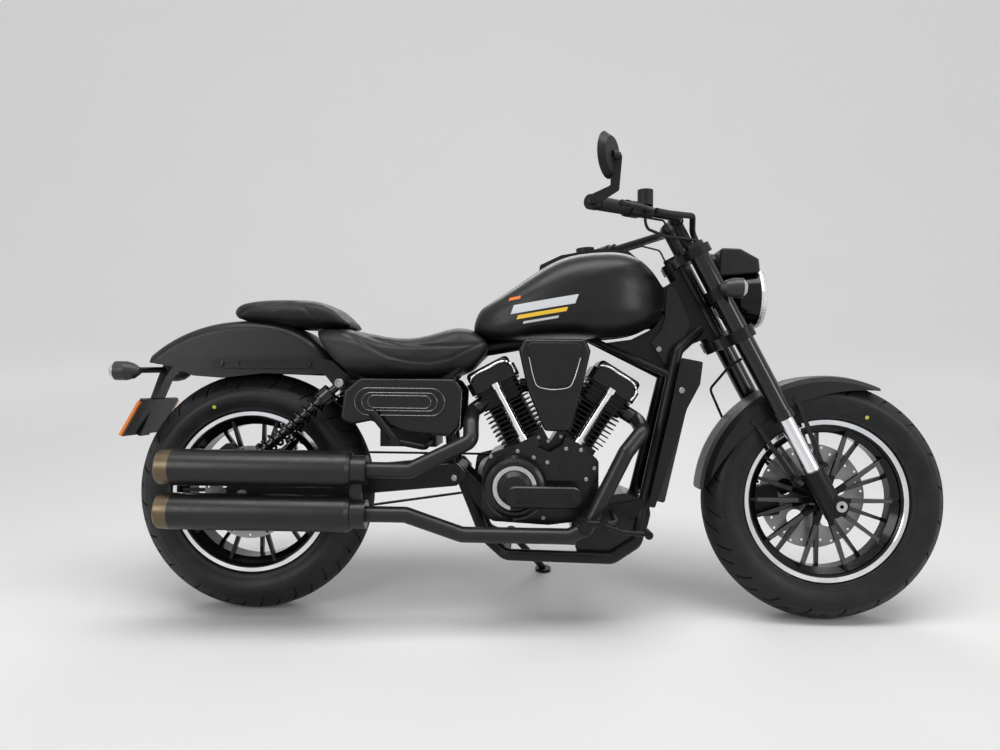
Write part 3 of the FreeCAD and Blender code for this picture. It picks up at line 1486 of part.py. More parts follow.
def upright_ground(y):
    lean = math.radians(lean_angle)
    return (y * math.sin(lean) - tyre_crown_radius * (1 - math.cos(lean))) / math.cos(lean)


def machine():
    engine_left, pulley_guard = left_covers()
    covers = [cam_cover(), clutch_cover(), oblong_cover(), engine_left, pulley_guard]
    return {
        "front_rim": front_wheel(),
        "front_tyre": tyre(front_tyre_diameter, front_tyre_width, front_rim_width, wheelbase, front_axle_z),
        "front_disc": front_disc(),
        "rear_rim": rear_wheel(),
        "rear_tyre": tyre(rear_tyre_diameter, rear_tyre_width, rear_rim_width, 0, rear_axle_z),
        "rear_disc": rear_disc(),
        "rear_pulley": rear_pulley(),
        "front_axle": front_axle(),
        "fork_tubes": fork_tubes(),
        "fork_sliders": fork_sliders(),
        "fork_lowers": fork_lowers(),
        "fork_clamps": Part.makeCompound([fork_clamps(), lamp_brackets()]),
        "front_mudguard": front_guard(),
        "front_caliper": front_caliper(),
        "headlamp_shell": headlamp_shell(),
        "headlamp_ring": headlamp_ring(),
        "headlamp_lens": headlamp_lens(),
        "headlamp_cowl": Part.makeCompound([lamp_cowl(), gauge()]),
        "front_signals": front_signals(),
        "handlebar": handlebar(),
        "grips": grips(),
        "bar_controls": Part.makeCompound([switch_pods(), levers(), reservoir()]),
        "mirrors": mirrors(),
        "mirror_glass": mirror_glass(),
        "brake_hose": brake_hose(),
        "bar_cables": bar_cables(),
        "frame": frame(),
        "seat_rails": seat_rails(),
        "radiator": radiator(),
        "radiator_cover": radiator_cover(),
        "swingarm": swingarm(),
        "rear_axle": rear_axle(),
        "shocks": shocks(),
        "rear_caliper": rear_caliper(),
        "drive_belt": drive_belt(),
        "front_pulley": front_pulley(),
        "crankcase": Part.makeCompound([crankcase(), belly()]),
        "cylinders": Part.makeCompound([cylinders(), cylinder_heads()]),
        "rocker_boxes": rocker_boxes(),
        "pushrod_tubes": pushrod_tubes(),
        "engine_covers": Part.makeCompound(covers),
        "air_cleaner": air_cleaner(),
        "exhaust_pipes": exhaust_pipes(),
        "mufflers": mufflers(),
        "fuel_tank": fuel_tank(),
        "tank_console": tank_console(),
        "rear_mudguard": rear_guard(),
        "rider_seat": rider_seat(),
        "pillion_seat": pillion_seat(),
        "side_covers": Part.makeCompound([side_covers(), neck_covers()]),
        "battery_box": battery_box(),
        "foot_pegs": Part.makeCompound([foot_pegs(), pillion_pegs(), foot_levers()]),
        "tail_bracket": tail_bracket(),
        "rear_signals": rear_signals(),
        "rear_lenses": Part.makeCompound([tail_lamp(), reflectors()]),
        "side_stand": side_stand(),
    }


def parked(nodes):
    lean = math.radians(lean_angle)
    turn = FreeCAD.Rotation(point(1, 0, 0), -lean_angle)
    rise = tyre_crown_radius * (1 - math.cos(lean))
    leaned = {}
    for name, shape in nodes.items():
        stood = shape.copy()
        stood.Placement = FreeCAD.Placement(point(0, 0, rise), turn).multiply(shape.Placement)
        leaned[name] = stood
    box = Part.makeCompound(list(leaned.values())).optimalBoundingBox(False, False)
    middle = point(-(box.XMin + box.XMax) / 2, -(box.YMin + box.YMax) / 2, 0)
    for shape in leaned.values():
        shape.Placement = FreeCAD.Placement(middle, FreeCAD.Rotation()).multiply(shape.Placement)
    return leaned, middle


if __name__ == "__main__":
    os.makedirs("parts", exist_ok=True)
    nodes, middle = parked(machine())
    for name, shape in nodes.items():
        shape.exportStep("parts/" + name + ".step")
    box = Part.makeCompound(list(nodes.values())).optimalBoundingBox(False, False)
    print("origin shift", round(middle.x, 3), round(middle.y, 3))
    print("box", [round(value, 2) for value in (box.XMin, box.XMax, box.YMin, box.YMax, box.ZMin, box.ZMax)])
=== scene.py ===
import bpy
import bmesh
import json
import math
from mathutils import Matrix, Vector
from mathutils.bvhtree import BVHTree

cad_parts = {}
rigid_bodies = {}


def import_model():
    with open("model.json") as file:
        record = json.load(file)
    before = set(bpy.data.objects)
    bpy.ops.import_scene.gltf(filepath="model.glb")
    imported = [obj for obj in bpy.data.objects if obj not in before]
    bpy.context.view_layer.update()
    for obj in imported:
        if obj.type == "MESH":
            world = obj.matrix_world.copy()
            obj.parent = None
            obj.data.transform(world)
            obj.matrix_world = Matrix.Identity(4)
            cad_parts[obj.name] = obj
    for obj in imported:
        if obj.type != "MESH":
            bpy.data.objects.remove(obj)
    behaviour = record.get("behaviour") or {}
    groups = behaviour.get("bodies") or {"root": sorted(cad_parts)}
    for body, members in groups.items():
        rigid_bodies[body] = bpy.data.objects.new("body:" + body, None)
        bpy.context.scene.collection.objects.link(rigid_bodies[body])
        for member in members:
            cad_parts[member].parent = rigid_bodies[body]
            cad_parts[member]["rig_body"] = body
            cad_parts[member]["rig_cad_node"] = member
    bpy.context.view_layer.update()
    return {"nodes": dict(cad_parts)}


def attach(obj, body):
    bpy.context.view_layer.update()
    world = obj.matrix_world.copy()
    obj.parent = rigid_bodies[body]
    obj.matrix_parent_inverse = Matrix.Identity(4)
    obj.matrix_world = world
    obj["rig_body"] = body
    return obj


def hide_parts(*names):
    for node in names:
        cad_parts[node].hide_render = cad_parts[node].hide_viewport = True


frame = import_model()
nodes = frame["nodes"]
print("frame loaded:", len(nodes), "nodes")

# Pieces are drawn on the upright machine: rear axle at x 0, y to the left, z up from the road, in metres.
# The parking matrix leans them onto the side stand, where the CAD model is.
stance = {"lean": 9.0, "shiftX": -0.757, "shiftY": -0.160502, "lift": 0.000936,
          "frontAxle": (1.54, 0.320), "rearAxle": (0.0, 0.323)}
lean = math.radians(stance["lean"])
parking = (Matrix.Translation((stance["shiftX"], stance["shiftY"], stance["lift"]))
           @ Matrix.Rotation(-lean, 4, "X"))
upright = parking.inverted()


# Camera at the photograph's place
camera = {"place": (-0.029, -2.11195, 0.928), "yaw": -1.72, "pitch": 8.0, "roll": 0.41, "lens": 27.036}


def makeCamera():
    yaw, pitch, roll = (math.radians(camera[key]) for key in ("yaw", "pitch", "roll"))
    ahead = Vector((math.sin(yaw) * math.cos(pitch), math.cos(yaw) * math.cos(pitch), -math.sin(pitch)))
    right = Vector((math.cos(yaw), -math.sin(yaw), 0))
    above = right.cross(ahead)
    across = right * math.cos(roll) + above * math.sin(roll)
    top = above * math.cos(roll) - right * math.sin(roll)
    bpy.ops.object.camera_add()
    eye = bpy.context.object
    turn = Matrix((across, top, -ahead)).transposed().to_4x4()
    eye.matrix_world = Matrix.Translation(camera["place"]) @ turn
    eye.data.lens = camera["lens"]
    eye.data.sensor_width = 36
    bpy.context.scene.camera = eye


makeCamera()


# Small helpers
def clear():
    if bpy.context.object and bpy.context.object.mode != "OBJECT":
        bpy.ops.object.mode_set(mode="OBJECT")
    bpy.ops.object.select_all(action="DESELECT")


def take(*pieces):
    clear()
    for piece in pieces:
        piece.select_set(True)
    bpy.context.view_layer.objects.active = pieces[0]


def place(piece, matrix):
    take(piece)
    piece.matrix_world = matrix @ piece.matrix_world
    bpy.ops.object.transform_apply(location=True, rotation=True, scale=True)


def applyModifier(piece, kind, **settings):
    take(piece)
    change = piece.modifiers.new(kind.lower(), kind)
    for key, value in settings.items():
        setattr(change, key, value)
    bpy.ops.object.modifier_apply(modifier=change.name)


def dress(piece, name, body, look, smooth=35.0, parked=True):
    piece.name = name
    if parked:
        place(piece, parking)
    take(piece)
    if smooth:
        bpy.ops.object.shade_smooth_by_angle(angle=math.radians(smooth))
    piece.data.materials.clear()
    piece.data.materials.append(look)
    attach(piece, body)
    return piece


def joinAll(pieces):
    take(*pieces)
    if len(pieces) > 1:
        bpy.ops.object.join()
    return bpy.context.object


def mend(piece):
    take(piece)
    bpy.ops.object.mode_set(mode="EDIT")
    bpy.ops.mesh.select_all(action="SELECT")
    bpy.ops.mesh.remove_doubles(threshold=0.000005)
    bpy.ops.mesh.normals_make_consistent(inside=False)
    bpy.ops.object.mode_set(mode="OBJECT")
    return piece


def spunProfile(points, axisPoint, axis, steps):
    clear()
    bpy.ops.mesh.primitive_plane_add(size=0.001, location=points[0])
    piece = bpy.context.object
    bpy.ops.object.transform_apply(location=True, rotation=True, scale=True)
    bpy.ops.object.mode_set(mode="EDIT")
    bpy.ops.mesh.select_mode(type="VERT")
    bpy.ops.mesh.select_all(action="SELECT")
    bpy.ops.mesh.merge(type="CENTER")
    for start, end in zip(points, points[1:]):
        step = [b - a for a, b in zip(start, end)]
        bpy.ops.mesh.extrude_region_move(TRANSFORM_OT_translate={"value": step})
    bpy.ops.mesh.select_all(action="SELECT")
    bpy.ops.mesh.remove_doubles(threshold=0.00002)
    bpy.ops.mesh.spin(steps=steps, angle=2 * math.pi, center=axisPoint, axis=axis)
    bpy.ops.mesh.select_all(action="SELECT")
    bpy.ops.mesh.remove_doubles(threshold=0.00005)
    bpy.ops.mesh.normals_make_consistent(inside=False)
    bpy.ops.object.mode_set(mode="OBJECT")
    return piece


def pickFaces(piece, wanted):
    mesh = bmesh.from_edit_mesh(piece.data)
    for face in mesh.faces:
        face.select_set(bool(wanted(face)))
    mesh.select_flush_mode()
    bmesh.update_edit_mesh(piece.data)


surfaceTrees = {}

# Rays at the machine's sides start this far from its middle
outside = 0.6


# The first CAD surface met from the right (side -1) or the left (side 1), as a place and a normal
def surfaceAt(names, x, z, side):
    start = parking @ Vector((x, side * outside, z))
    way = parking.to_3x3() @ Vector((0, -side, 0))
    found = None
    for name in names:
        if name not in surfaceTrees:
            mesh = nodes[name].data
            faces = [tuple(face.vertices) for face in mesh.polygons]
            surfaceTrees[name] = BVHTree.FromPolygons([v.co for v in mesh.vertices], faces)
        spot, normal, _, distance = surfaceTrees[name].ray_cast(start, way)
        if spot is not None and (found is None or distance < found[2]):
            found = (spot, normal, distance)
    if found is None:
        return None
    return upright @ found[0], upright.to_3x3() @ found[1]


def facing(spot, way):
    return Matrix.Translation(spot) @ Vector(way).to_track_quat("Z", "Y").to_matrix().to_4x4()


def copies(model, places):
    made = []
    for matrix in places:
        piece = model.copy()
        piece.data = model.data.copy()
        piece.data.transform(matrix)
        bpy.context.collection.objects.link(piece)
        made.append(piece)
    bpy.data.objects.remove(model)
    return joinAll(made)


def tubeAlong(route, radius, rounded=True, sides=3):
    clear()
    bpy.ops.curve.primitive_bezier_curve_add()
    line = bpy.context.object
    points = line.data.splines[0].bezier_points
    points.add(len(route) - 2)
    for point, spot in zip(points, route):
        point.co = spot
        point.handle_left_type = point.handle_right_type = "AUTO" if rounded else "VECTOR"
    line.data.dimensions = "3D"
    line.data.bevel_depth = radius
    line.data.bevel_resolution = sides
    line.data.resolution_u = 6
    line.data.use_fill_caps = True
    bpy.context.view_layer.update()
    bpy.ops.object.convert(target="MESH")
    return mend(bpy.context.object)


# Materials
def shader(name):
    look = bpy.data.materials.new(name)
    look.use_nodes = True
    return look, look.node_tree, look.node_tree.nodes["Principled BSDF"]


def node(tree, kind, **settings):
    made = tree.nodes.new("ShaderNode" + kind)
    for key, value in settings.items():
        if key.startswith("in_"):
            made.inputs[int(key[3:])].default_value = value
        else:
            setattr(made, key, value)
    return made


def objectPlace(tree, shift=(0, 0, 0), turn=(0, 0, 0)):
    source = node(tree, "TexCoord")
    mapping = node(tree, "Mapping", vector_type="TEXTURE")
    mapping.inputs["Location"].default_value = shift
    mapping.inputs["Rotation"].default_value = turn
    tree.links.new(source.outputs["Object"], mapping.inputs["Vector"])
    return mapping.outputs["Vector"]


def bikePlace(tree, x=0.0, y=0.0, z=0.0):
    return objectPlace(tree, parking @ Vector((x, y, z)), (-lean, 0, 0))


def split(tree, vector):
    parts = node(tree, "SeparateXYZ")
    tree.links.new(vector, parts.inputs[0])
    return parts.outputs["X"], parts.outputs["Y"], parts.outputs["Z"]


def reachFrom(tree, vector, axes):
    kept = node(tree, "VectorMath", operation="MULTIPLY", in_1=axes)
    tree.links.new(vector, kept.inputs[0])
    reach = node(tree, "VectorMath", operation="LENGTH")
    tree.links.new(kept.outputs["Vector"], reach.inputs[0])
    return reach.outputs["Value"]


def sums(tree, kind, first, second=None, third=None):
    made = node(tree, "Math", operation=kind)
    for index, value in enumerate((first, second, third)):
        if value is None:
            continue
        if isinstance(value, (int, float)):
            made.inputs[index].default_value = value
        else:
            tree.links.new(value, made.inputs[index])
    return made.outputs[0]


def mixed(tree, factor, first, second):
    mix = node(tree, "Mix", data_type="RGBA")
    for key, value in (("Factor", factor), ("A", first), ("B", second)):
        socket = [s for s in mix.inputs if s.name == key and s.enabled][0]
        if isinstance(value, (tuple, list)):
            socket.default_value = (*value, 1)
        elif isinstance(value, (int, float)):
            socket.default_value = value
        else:
            tree.links.new(value, socket)
    return [s for s in mix.outputs if s.enabled][0]


def ranged(tree, value, low, high, toLow=0.0, toHigh=1.0, kind="SMOOTHSTEP"):
    made = node(tree, "MapRange", interpolation_type=kind)
    tree.links.new(value, made.inputs["Value"])
    for key, number in (("From Min", low), ("From Max", high), ("To Min", toLow), ("To Max", toHigh)):
        made.inputs[key].default_value = number
    return made.outputs["Result"]


def between(tree, value, low, high, edge=0.0003):
    up = ranged(tree, value, low - edge, low + edge)
    down = ranged(tree, value, high - edge, high + edge, 1.0, 0.0)
    return sums(tree, "MULTIPLY", up, down)


def noise(tree, vector, scale, detail=4.0, rough=0.55):
    made = node(tree, "TexNoise")
    tree.links.new(vector, made.inputs["Vector"])
    made.inputs["Scale"].default_value = scale
    made.inputs["Detail"].default_value = detail
    made.inputs["Roughness"].default_value = rough
    return made.outputs["Fac"]


def bump(tree, height, strength, distance, normal=None):
    made = node(tree, "Bump")
    made.inputs["Strength"].default_value = strength
    made.inputs["Distance"].default_value = distance
    tree.links.new(height, made.inputs["Height"])
    if normal is not None:
        tree.links.new(normal, made.inputs["Normal"])
    return made.outputs["Normal"]


def surface(name, colour, rough, metallic=0.0, coat=0.0, coatRough=0.1, spread=0.25, patch=14.0, grain=900.0,
            grainDepth=0.00004, roughSpread=0.06, specular=0.22):
    look, tree, bsdf = shader(name)
    spot = objectPlace(tree)
    broad = noise(tree, spot, patch)
    darker = tuple(c * (1 - spread) for c in colour)
    lighter = tuple(min(1.0, c * (1 + spread)) for c in colour)
    tree.links.new(mixed(tree, ranged(tree, broad, 0.3, 0.7), darker, lighter), bsdf.inputs["Base Color"])
    smudge = noise(tree, spot, patch * 4, 5.0, 0.65)
    shine = ranged(tree, smudge, 0.25, 0.75, rough - roughSpread, rough + roughSpread)
    tree.links.new(shine, bsdf.inputs["Roughness"])
    tree.links.new(bump(tree, noise(tree, spot, grain, 2.0), 0.6, grainDepth), bsdf.inputs["Normal"])
    bsdf.inputs["Metallic"].default_value = metallic
    bsdf.inputs["Specular IOR Level"].default_value = specular
    if coat:
        bsdf.inputs["Coat Weight"].default_value = coat
        bsdf.inputs["Coat Roughness"].default_value = coatRough
    return look


# A surface in two finishes, given as colour, roughness and metal, with the second one where the mask is 1
def twoFinishes(tree, bsdf, spot, mask, first, second, grain=900.0, specular=0.25):
    broad = noise(tree, spot, 16.0, 5.0)
    tones = []
    for colour, _, _ in (first, second):
        darker = tuple(c * 0.85 for c in colour)
        tones.append(mixed(tree, ranged(tree, broad, 0.3, 0.7), darker, colour))
    tree.links.new(mixed(tree, mask, *tones), bsdf.inputs["Base Color"])
    smudge = ranged(tree, noise(tree, spot, 70.0, 4.0), 0.3, 0.7, -0.05, 0.05)
    rough = sums(tree, "MULTIPLY_ADD", mask, second[1] - first[1], first[1])
    tree.links.new(sums(tree, "ADD", rough, smudge), bsdf.inputs["Roughness"])
    tree.links.new(sums(tree, "MULTIPLY_ADD", mask, second[2] - first[2], first[2]), bsdf.inputs["Metallic"])
    tree.links.new(bump(tree, noise(tree, spot, grain, 2.0), 0.4, 0.00003), bsdf.inputs["Normal"])
    bsdf.inputs["Specular IOR Level"].default_value = specular


finishes = {
    "paint": ((0.007, 0.007, 0.0075), 0.36, 0.0),
    "gloss": ((0.004, 0.004, 0.0045), 0.14, 0.0),
    "polished": ((0.8, 0.81, 0.83), 0.12, 1.0),
    "plastic": ((0.009, 0.009, 0.0095), 0.42, 0.0),
    "lens": ((0.52, 0.53, 0.55), 0.08, 0.55),
    "reflector": ((0.82, 0.83, 0.85), 0.1, 1.0),
    "exhaust": ((0.012, 0.0115, 0.011), 0.33, 0.25),
    "bronze": ((0.14, 0.105, 0.065), 0.34, 0.85),
}

looks = {
    "satinBlack": surface("satinBlackPaint", (0.007, 0.007, 0.0075), 0.36, spread=0.2, grain=1600),
    "bodyBlack": surface("matteBodyPaint", (0.0085, 0.0085, 0.0092), 0.38, coat=0.1, coatRough=0.3,
                         spread=0.1),
    "glossBlack": surface("glossBlackEnamel", (0.004, 0.004, 0.0045), 0.16, coat=0.5, coatRough=0.05,
                          spread=0.1, roughSpread=0.03, grainDepth=0.00001),
    "chrome": surface("brightChrome", (0.8, 0.81, 0.83), 0.07, metallic=1.0, spread=0.03, roughSpread=0.03,
                      grainDepth=0.000005),
    "steel": surface("brushedSteel", (0.46, 0.46, 0.47), 0.3, metallic=1.0, spread=0.1),
    "discSteel": surface("brushedDisc", (0.27, 0.27, 0.28), 0.34, metallic=1.0, spread=0.1),
    "boltSteel": surface("zincBolt", (0.34, 0.34, 0.35), 0.3, metallic=1.0, spread=0.08, patch=40.0),
    "castBlack": surface("castBlackEngine", (0.006, 0.006, 0.0065), 0.28, spread=0.3, grain=520,
                         grainDepth=0.0001, coat=0.2, coatRough=0.14),
    "finBlack": surface("finnedBlack", (0.008, 0.008, 0.0085), 0.32, spread=0.25, grain=700,
                        grainDepth=0.0001),
    "darkPlastic": surface("mouldedPlastic", (0.0085, 0.0085, 0.009), 0.44, spread=0.15, grain=1300,
                           grainDepth=0.00008),
    "coverPlastic": surface("satinSideCover", (0.0075, 0.0075, 0.008), 0.27, spread=0.12, grain=1500,
                            grainDepth=0.00003, coat=0.2, coatRough=0.18),
    "rubber": surface("gripRubber", (0.009, 0.009, 0.009), 0.6, spread=0.2, grain=600, grainDepth=0.00015,
                      specular=0.3),
    "beltRubber": surface("beltRubber", (0.012, 0.012, 0.012), 0.65, spread=0.2, grain=500,
                          grainDepth=0.0001),
    "clutchRing": surface("brushedClutchRing", (0.5, 0.505, 0.515), 0.3, metallic=0.9, spread=0.06,
                          patch=60.0),
    # Grey metal for the painted highlight lines on the side covers' step edges
    "paintedStepHighlight": surface("paintedStepHighlight", (0.13, 0.13, 0.135), 0.24, metallic=0.9, spread=0.08),
    "thread": surface("seatThread", (0.05, 0.05, 0.05), 0.55, spread=0.2, patch=200.0),
    "amber": surface("amberLens", (0.75, 0.2, 0.012), 0.18, coat=0.6, coatRough=0.05, spread=0.1, grain=260,
                     grainDepth=0.0002, specular=0.5),
    "mirror": surface("mirrorGlass", (0.86, 0.88, 0.9), 0.03, metallic=1.0, spread=0.02, roughSpread=0.01,
                      grainDepth=0.000001),
}


wheelPaint = {"lip": (0.2035, 0.2041), "lipInset": (0.003, 0.002), "spokes": (0.07, 0.178, 0.0008),
              "flat": (0.985, 0.995)}


# Painted wheel with a polished lip and a slight sheen on the flat faces of its spokes
def wheelLook(name, axle, halfWidth, spokeShine):
    look, tree, bsdf = shader(name)
    spot = bikePlace(tree, axle[0], 0, axle[1])
    radius = reachFrom(tree, spot, (1, 0, 1))
    _, y, _ = split(tree, spot)
    side = sums(tree, "ABSOLUTE", y)
    outer = ranged(tree, side, *(halfWidth - inset for inset in wheelPaint["lipInset"]))
    lip = sums(tree, "MULTIPLY", ranged(tree, radius, *wheelPaint["lip"]), outer)
    normals = node(tree, "TexCoord").outputs["Normal"]
    toSide = node(tree, "VectorMath", operation="DOT_PRODUCT", in_1=parking.to_3x3() @ Vector((0, 1, 0)))
    tree.links.new(normals, toSide.inputs[0])
    sideways = ranged(tree, sums(tree, "ABSOLUTE", toSide.outputs["Value"]), *wheelPaint["flat"])
    spokes = sums(tree, "MULTIPLY", between(tree, radius, *wheelPaint["spokes"]), sideways)
    mask = sums(tree, "MAXIMUM", lip, sums(tree, "MULTIPLY", spokes, spokeShine))
    twoFinishes(tree, bsdf, spot, mask, finishes["gloss"], finishes["polished"], 1200.0)
    return look


tyrePaint = {"dot": (0.0045, 0.0052), "dotSide": (-0.03, -0.02), "tread": (0.29, 0.305),
             "rings": ((0.2325, 0.2355), (0.2725, 0.2745)), "ringHeight": 0.0008}


def tyreLook(name, axle, dotX, dotZ):
    look, tree, bsdf = shader(name)
    spot = bikePlace(tree, axle[0], 0, axle[1])
    radius = reachFrom(tree, spot, (1, 0, 1))
    broad = noise(tree, spot, 22.0, 6.0, 0.6)
    rubber = mixed(tree, ranged(tree, broad, 0.3, 0.75), (0.009, 0.009, 0.0095), (0.016, 0.016, 0.017))
    dotPlace = bikePlace(tree, dotX, 0, dotZ)
    _, y, _ = split(tree, dotPlace)
    circle = ranged(tree, reachFrom(tree, dotPlace, (1, 0, 1)), *tyrePaint["dot"], 1.0, 0.0)
    dot = sums(tree, "MULTIPLY", circle, ranged(tree, y, *tyrePaint["dotSide"], 1.0, 0.0))
    tree.links.new(mixed(tree, dot, rubber, (0.62, 0.6, 0.1)), bsdf.inputs["Base Color"])
    tread = ranged(tree, radius, *tyrePaint["tread"])
    shine = ranged(tree, broad, 0.3, 0.7, 0.36, 0.48)
    tree.links.new(sums(tree, "MULTIPLY_ADD", tread, 0.2, shine), bsdf.inputs["Roughness"])
    rings = sums(tree, "MAXIMUM", *(between(tree, radius, low, high) for low, high in tyrePaint["rings"]))
    raised = bump(tree, rings, 1.0, tyrePaint["ringHeight"])
    tree.links.new(bump(tree, noise(tree, spot, 700.0, 2.0), 0.5, 0.00012, raised), bsdf.inputs["Normal"])
    bsdf.inputs["Specular IOR Level"].default_value = 0.24
    return look


def leatherLook():
    look, tree, bsdf = shader("blackLeather")
    spot = objectPlace(tree)
    cells = node(tree, "TexVoronoi", feature="DISTANCE_TO_EDGE")
    cells.inputs["Scale"].default_value = 420
    tree.links.new(spot, cells.inputs["Vector"])
    broad = noise(tree, spot, 12.0, 5.0)
    tone = mixed(tree, ranged(tree, broad, 0.3, 0.7), (0.008, 0.008, 0.0083), (0.013, 0.0127, 0.0127))
    tree.links.new(tone, bsdf.inputs["Base Color"])
    shine = ranged(tree, noise(tree, spot, 60.0), 0.3, 0.7, 0.36, 0.5)
    tree.links.new(shine, bsdf.inputs["Roughness"])
    pebbles = ranged(tree, cells.outputs["Distance"], 0.0, 0.12)
    first = bump(tree, pebbles, 0.4, 0.00015)
    tree.links.new(bump(tree, noise(tree, spot, 1400.0, 2.0), 0.3, 0.00006, first), bsdf.inputs["Normal"])
    bsdf.inputs["Specular IOR Level"].default_value = 0.26
    return look


# Tank paint with slanted silver-grey and gold stripes on both sides, and a small orange mark behind them
tankArt = {
    "centreX": 0.775, "centreZ": 0.812, "rise": 9.0, "slant": 0.55,
    "stripes": (
        ((0.60, 0.61, 0.63), -0.082, 0.086, 0.004, 0.026),
        ((0.80, 0.50, 0.035), -0.060, 0.070, -0.012, -0.002),
        ((0.60, 0.61, 0.63), -0.038, 0.054, -0.026, -0.020),
        ((0.72, 0.17, 0.02), -0.102, -0.072, 0.040, 0.048),
    ),
}


def tankLook():
    look, tree, bsdf = shader("matteTankPaint")
    spot = bikePlace(tree, tankArt["centreX"], 0, tankArt["centreZ"])
    x, y, z = split(tree, spot)
    rise = math.radians(tankArt["rise"])
    along = sums(tree, "MULTIPLY_ADD", z, math.sin(rise), sums(tree, "MULTIPLY", x, math.cos(rise)))
    up = sums(tree, "MULTIPLY_ADD", z, math.cos(rise), sums(tree, "MULTIPLY", x, -math.sin(rise)))
    slanted = sums(tree, "MULTIPLY_ADD", up, -tankArt["slant"], along)
    sides = ranged(tree, sums(tree, "ABSOLUTE", y), 0.06, 0.065)
    broad = noise(tree, spot, 12.0)
    tone = mixed(tree, ranged(tree, broad, 0.3, 0.7), (0.006, 0.006, 0.0066), (0.0085, 0.0085, 0.0092))
    for colour, rear, front, low, high in tankArt["stripes"]:
        band = sums(tree, "MULTIPLY", between(tree, slanted, rear, front), between(tree, up, low, high))
        tone = mixed(tree, sums(tree, "MULTIPLY", band, sides), tone, colour)
    tree.links.new(tone, bsdf.inputs["Base Color"])
    shine = ranged(tree, noise(tree, spot, 60.0, 5.0), 0.3, 0.7, 0.32, 0.4)
    tree.links.new(shine, bsdf.inputs["Roughness"])
    tree.links.new(bump(tree, noise(tree, spot, 1500.0, 2.0), 0.4, 0.00002), bsdf.inputs["Normal"])
    bsdf.inputs["Specular IOR Level"].default_value = 0.25
    bsdf.inputs["Coat Weight"].default_value = 0.1
    bsdf.inputs["Coat Roughness"].default_value = 0.25
    return look


def mufflerLook():
    look, tree, bsdf = shader("heatBlackExhaust")
    spot = bikePlace(tree)
    x, _, _ = split(tree, spot)
    cap = ranged(tree, x, -0.1455, -0.1445, 1.0, 0.0, "LINEAR")
    twoFinishes(tree, bsdf, spot, cap, finishes["exhaust"], finishes["bronze"], 1100.0, 0.45)
    return look


lamp = {"x": 1.356, "z": 0.864, "lensRadius": 0.071, "bowl": (-0.055, -0.053), "ribs": 120.0}


def lampLook():
    look, tree, bsdf = shader("lampBowl")
    spot = bikePlace(tree, lamp["x"], 0, lamp["z"])
    x, _, _ = split(tree, spot)
    away = reachFrom(tree, spot, (0, 1, 1))
    within = ranged(tree, away, lamp["lensRadius"], lamp["lensRadius"] + 0.0006, 1.0, 0.0)
    bowl = sums(tree, "MULTIPLY", within, ranged(tree, x, *lamp["bowl"]))
    twoFinishes(tree, bsdf, spot, bowl, finishes["gloss"], finishes["reflector"], 1200.0)
    return look


# Ribbed clear rim round the lamp
def lampRingLook():
    look, tree, bsdf = shader("lampRim")
    spot = bikePlace(tree, lamp["x"], 0, lamp["z"])
    _, y, z = split(tree, spot)
    angle = sums(tree, "ARCTAN2", y, z)
    ribs = sums(tree, "SINE", sums(tree, "MULTIPLY", angle, lamp["ribs"]))
    tone = mixed(tree, ranged(tree, ribs, -1.0, 1.0), (0.62, 0.63, 0.65), (0.84, 0.85, 0.87))
    tree.links.new(tone, bsdf.inputs["Base Color"])
    tree.links.new(bump(tree, ribs, 0.5, 0.0004), bsdf.inputs["Normal"])
    bsdf.inputs["Roughness"].default_value = 0.12
    bsdf.inputs["Metallic"].default_value = 0.75
    return look


# Black housings with a clear lens on the side that lies beyond the given x
def signalLook(name, lensFrom, lensTo):
    look, tree, bsdf = shader(name)
    spot = bikePlace(tree)
    x, _, _ = split(tree, spot)
    lens = ranged(tree, x, lensFrom, lensTo)
    twoFinishes(tree, bsdf, spot, lens, finishes["plastic"], finishes["lens"], 400.0, 0.5)
    return look


def radiatorLook():
    look, tree, bsdf = shader("radiatorCore")
    spot = bikePlace(tree)
    x, y, z = split(tree, spot)
    fins = sums(tree, "SINE", sums(tree, "MULTIPLY", z, 1600.0))
    tubes = sums(tree, "SINE", sums(tree, "MULTIPLY", y, 500.0))
    tone = mixed(tree, ranged(tree, fins, -1.0, 1.0), (0.01, 0.01, 0.011), (0.05, 0.05, 0.053))
    tone = mixed(tree, ranged(tree, tubes, 0.6, 0.9), tone, (0.02, 0.02, 0.021))
    tree.links.new(tone, bsdf.inputs["Base Color"])
    first = bump(tree, fins, 0.8, 0.0006)
    tree.links.new(bump(tree, tubes, 0.8, 0.0008, first), bsdf.inputs["Normal"])
    bsdf.inputs["Roughness"].default_value = 0.45
    bsdf.inputs["Metallic"].default_value = 0.6
    return look


def glassLook(name, colour, alpha):
    look, tree, bsdf = shader(name)
    tint = mixed(tree, noise(tree, objectPlace(tree), 30.0), colour, tuple(c * 0.92 for c in colour))
    tree.links.new(tint, bsdf.inputs["Base Color"])
    bsdf.inputs["Roughness"].default_value = 0.03
    bsdf.inputs["Transmission Weight"].default_value = 0.9
    bsdf.inputs["IOR"].default_value = 1.4
    bsdf.inputs["Alpha"].default_value = alpha
    return look


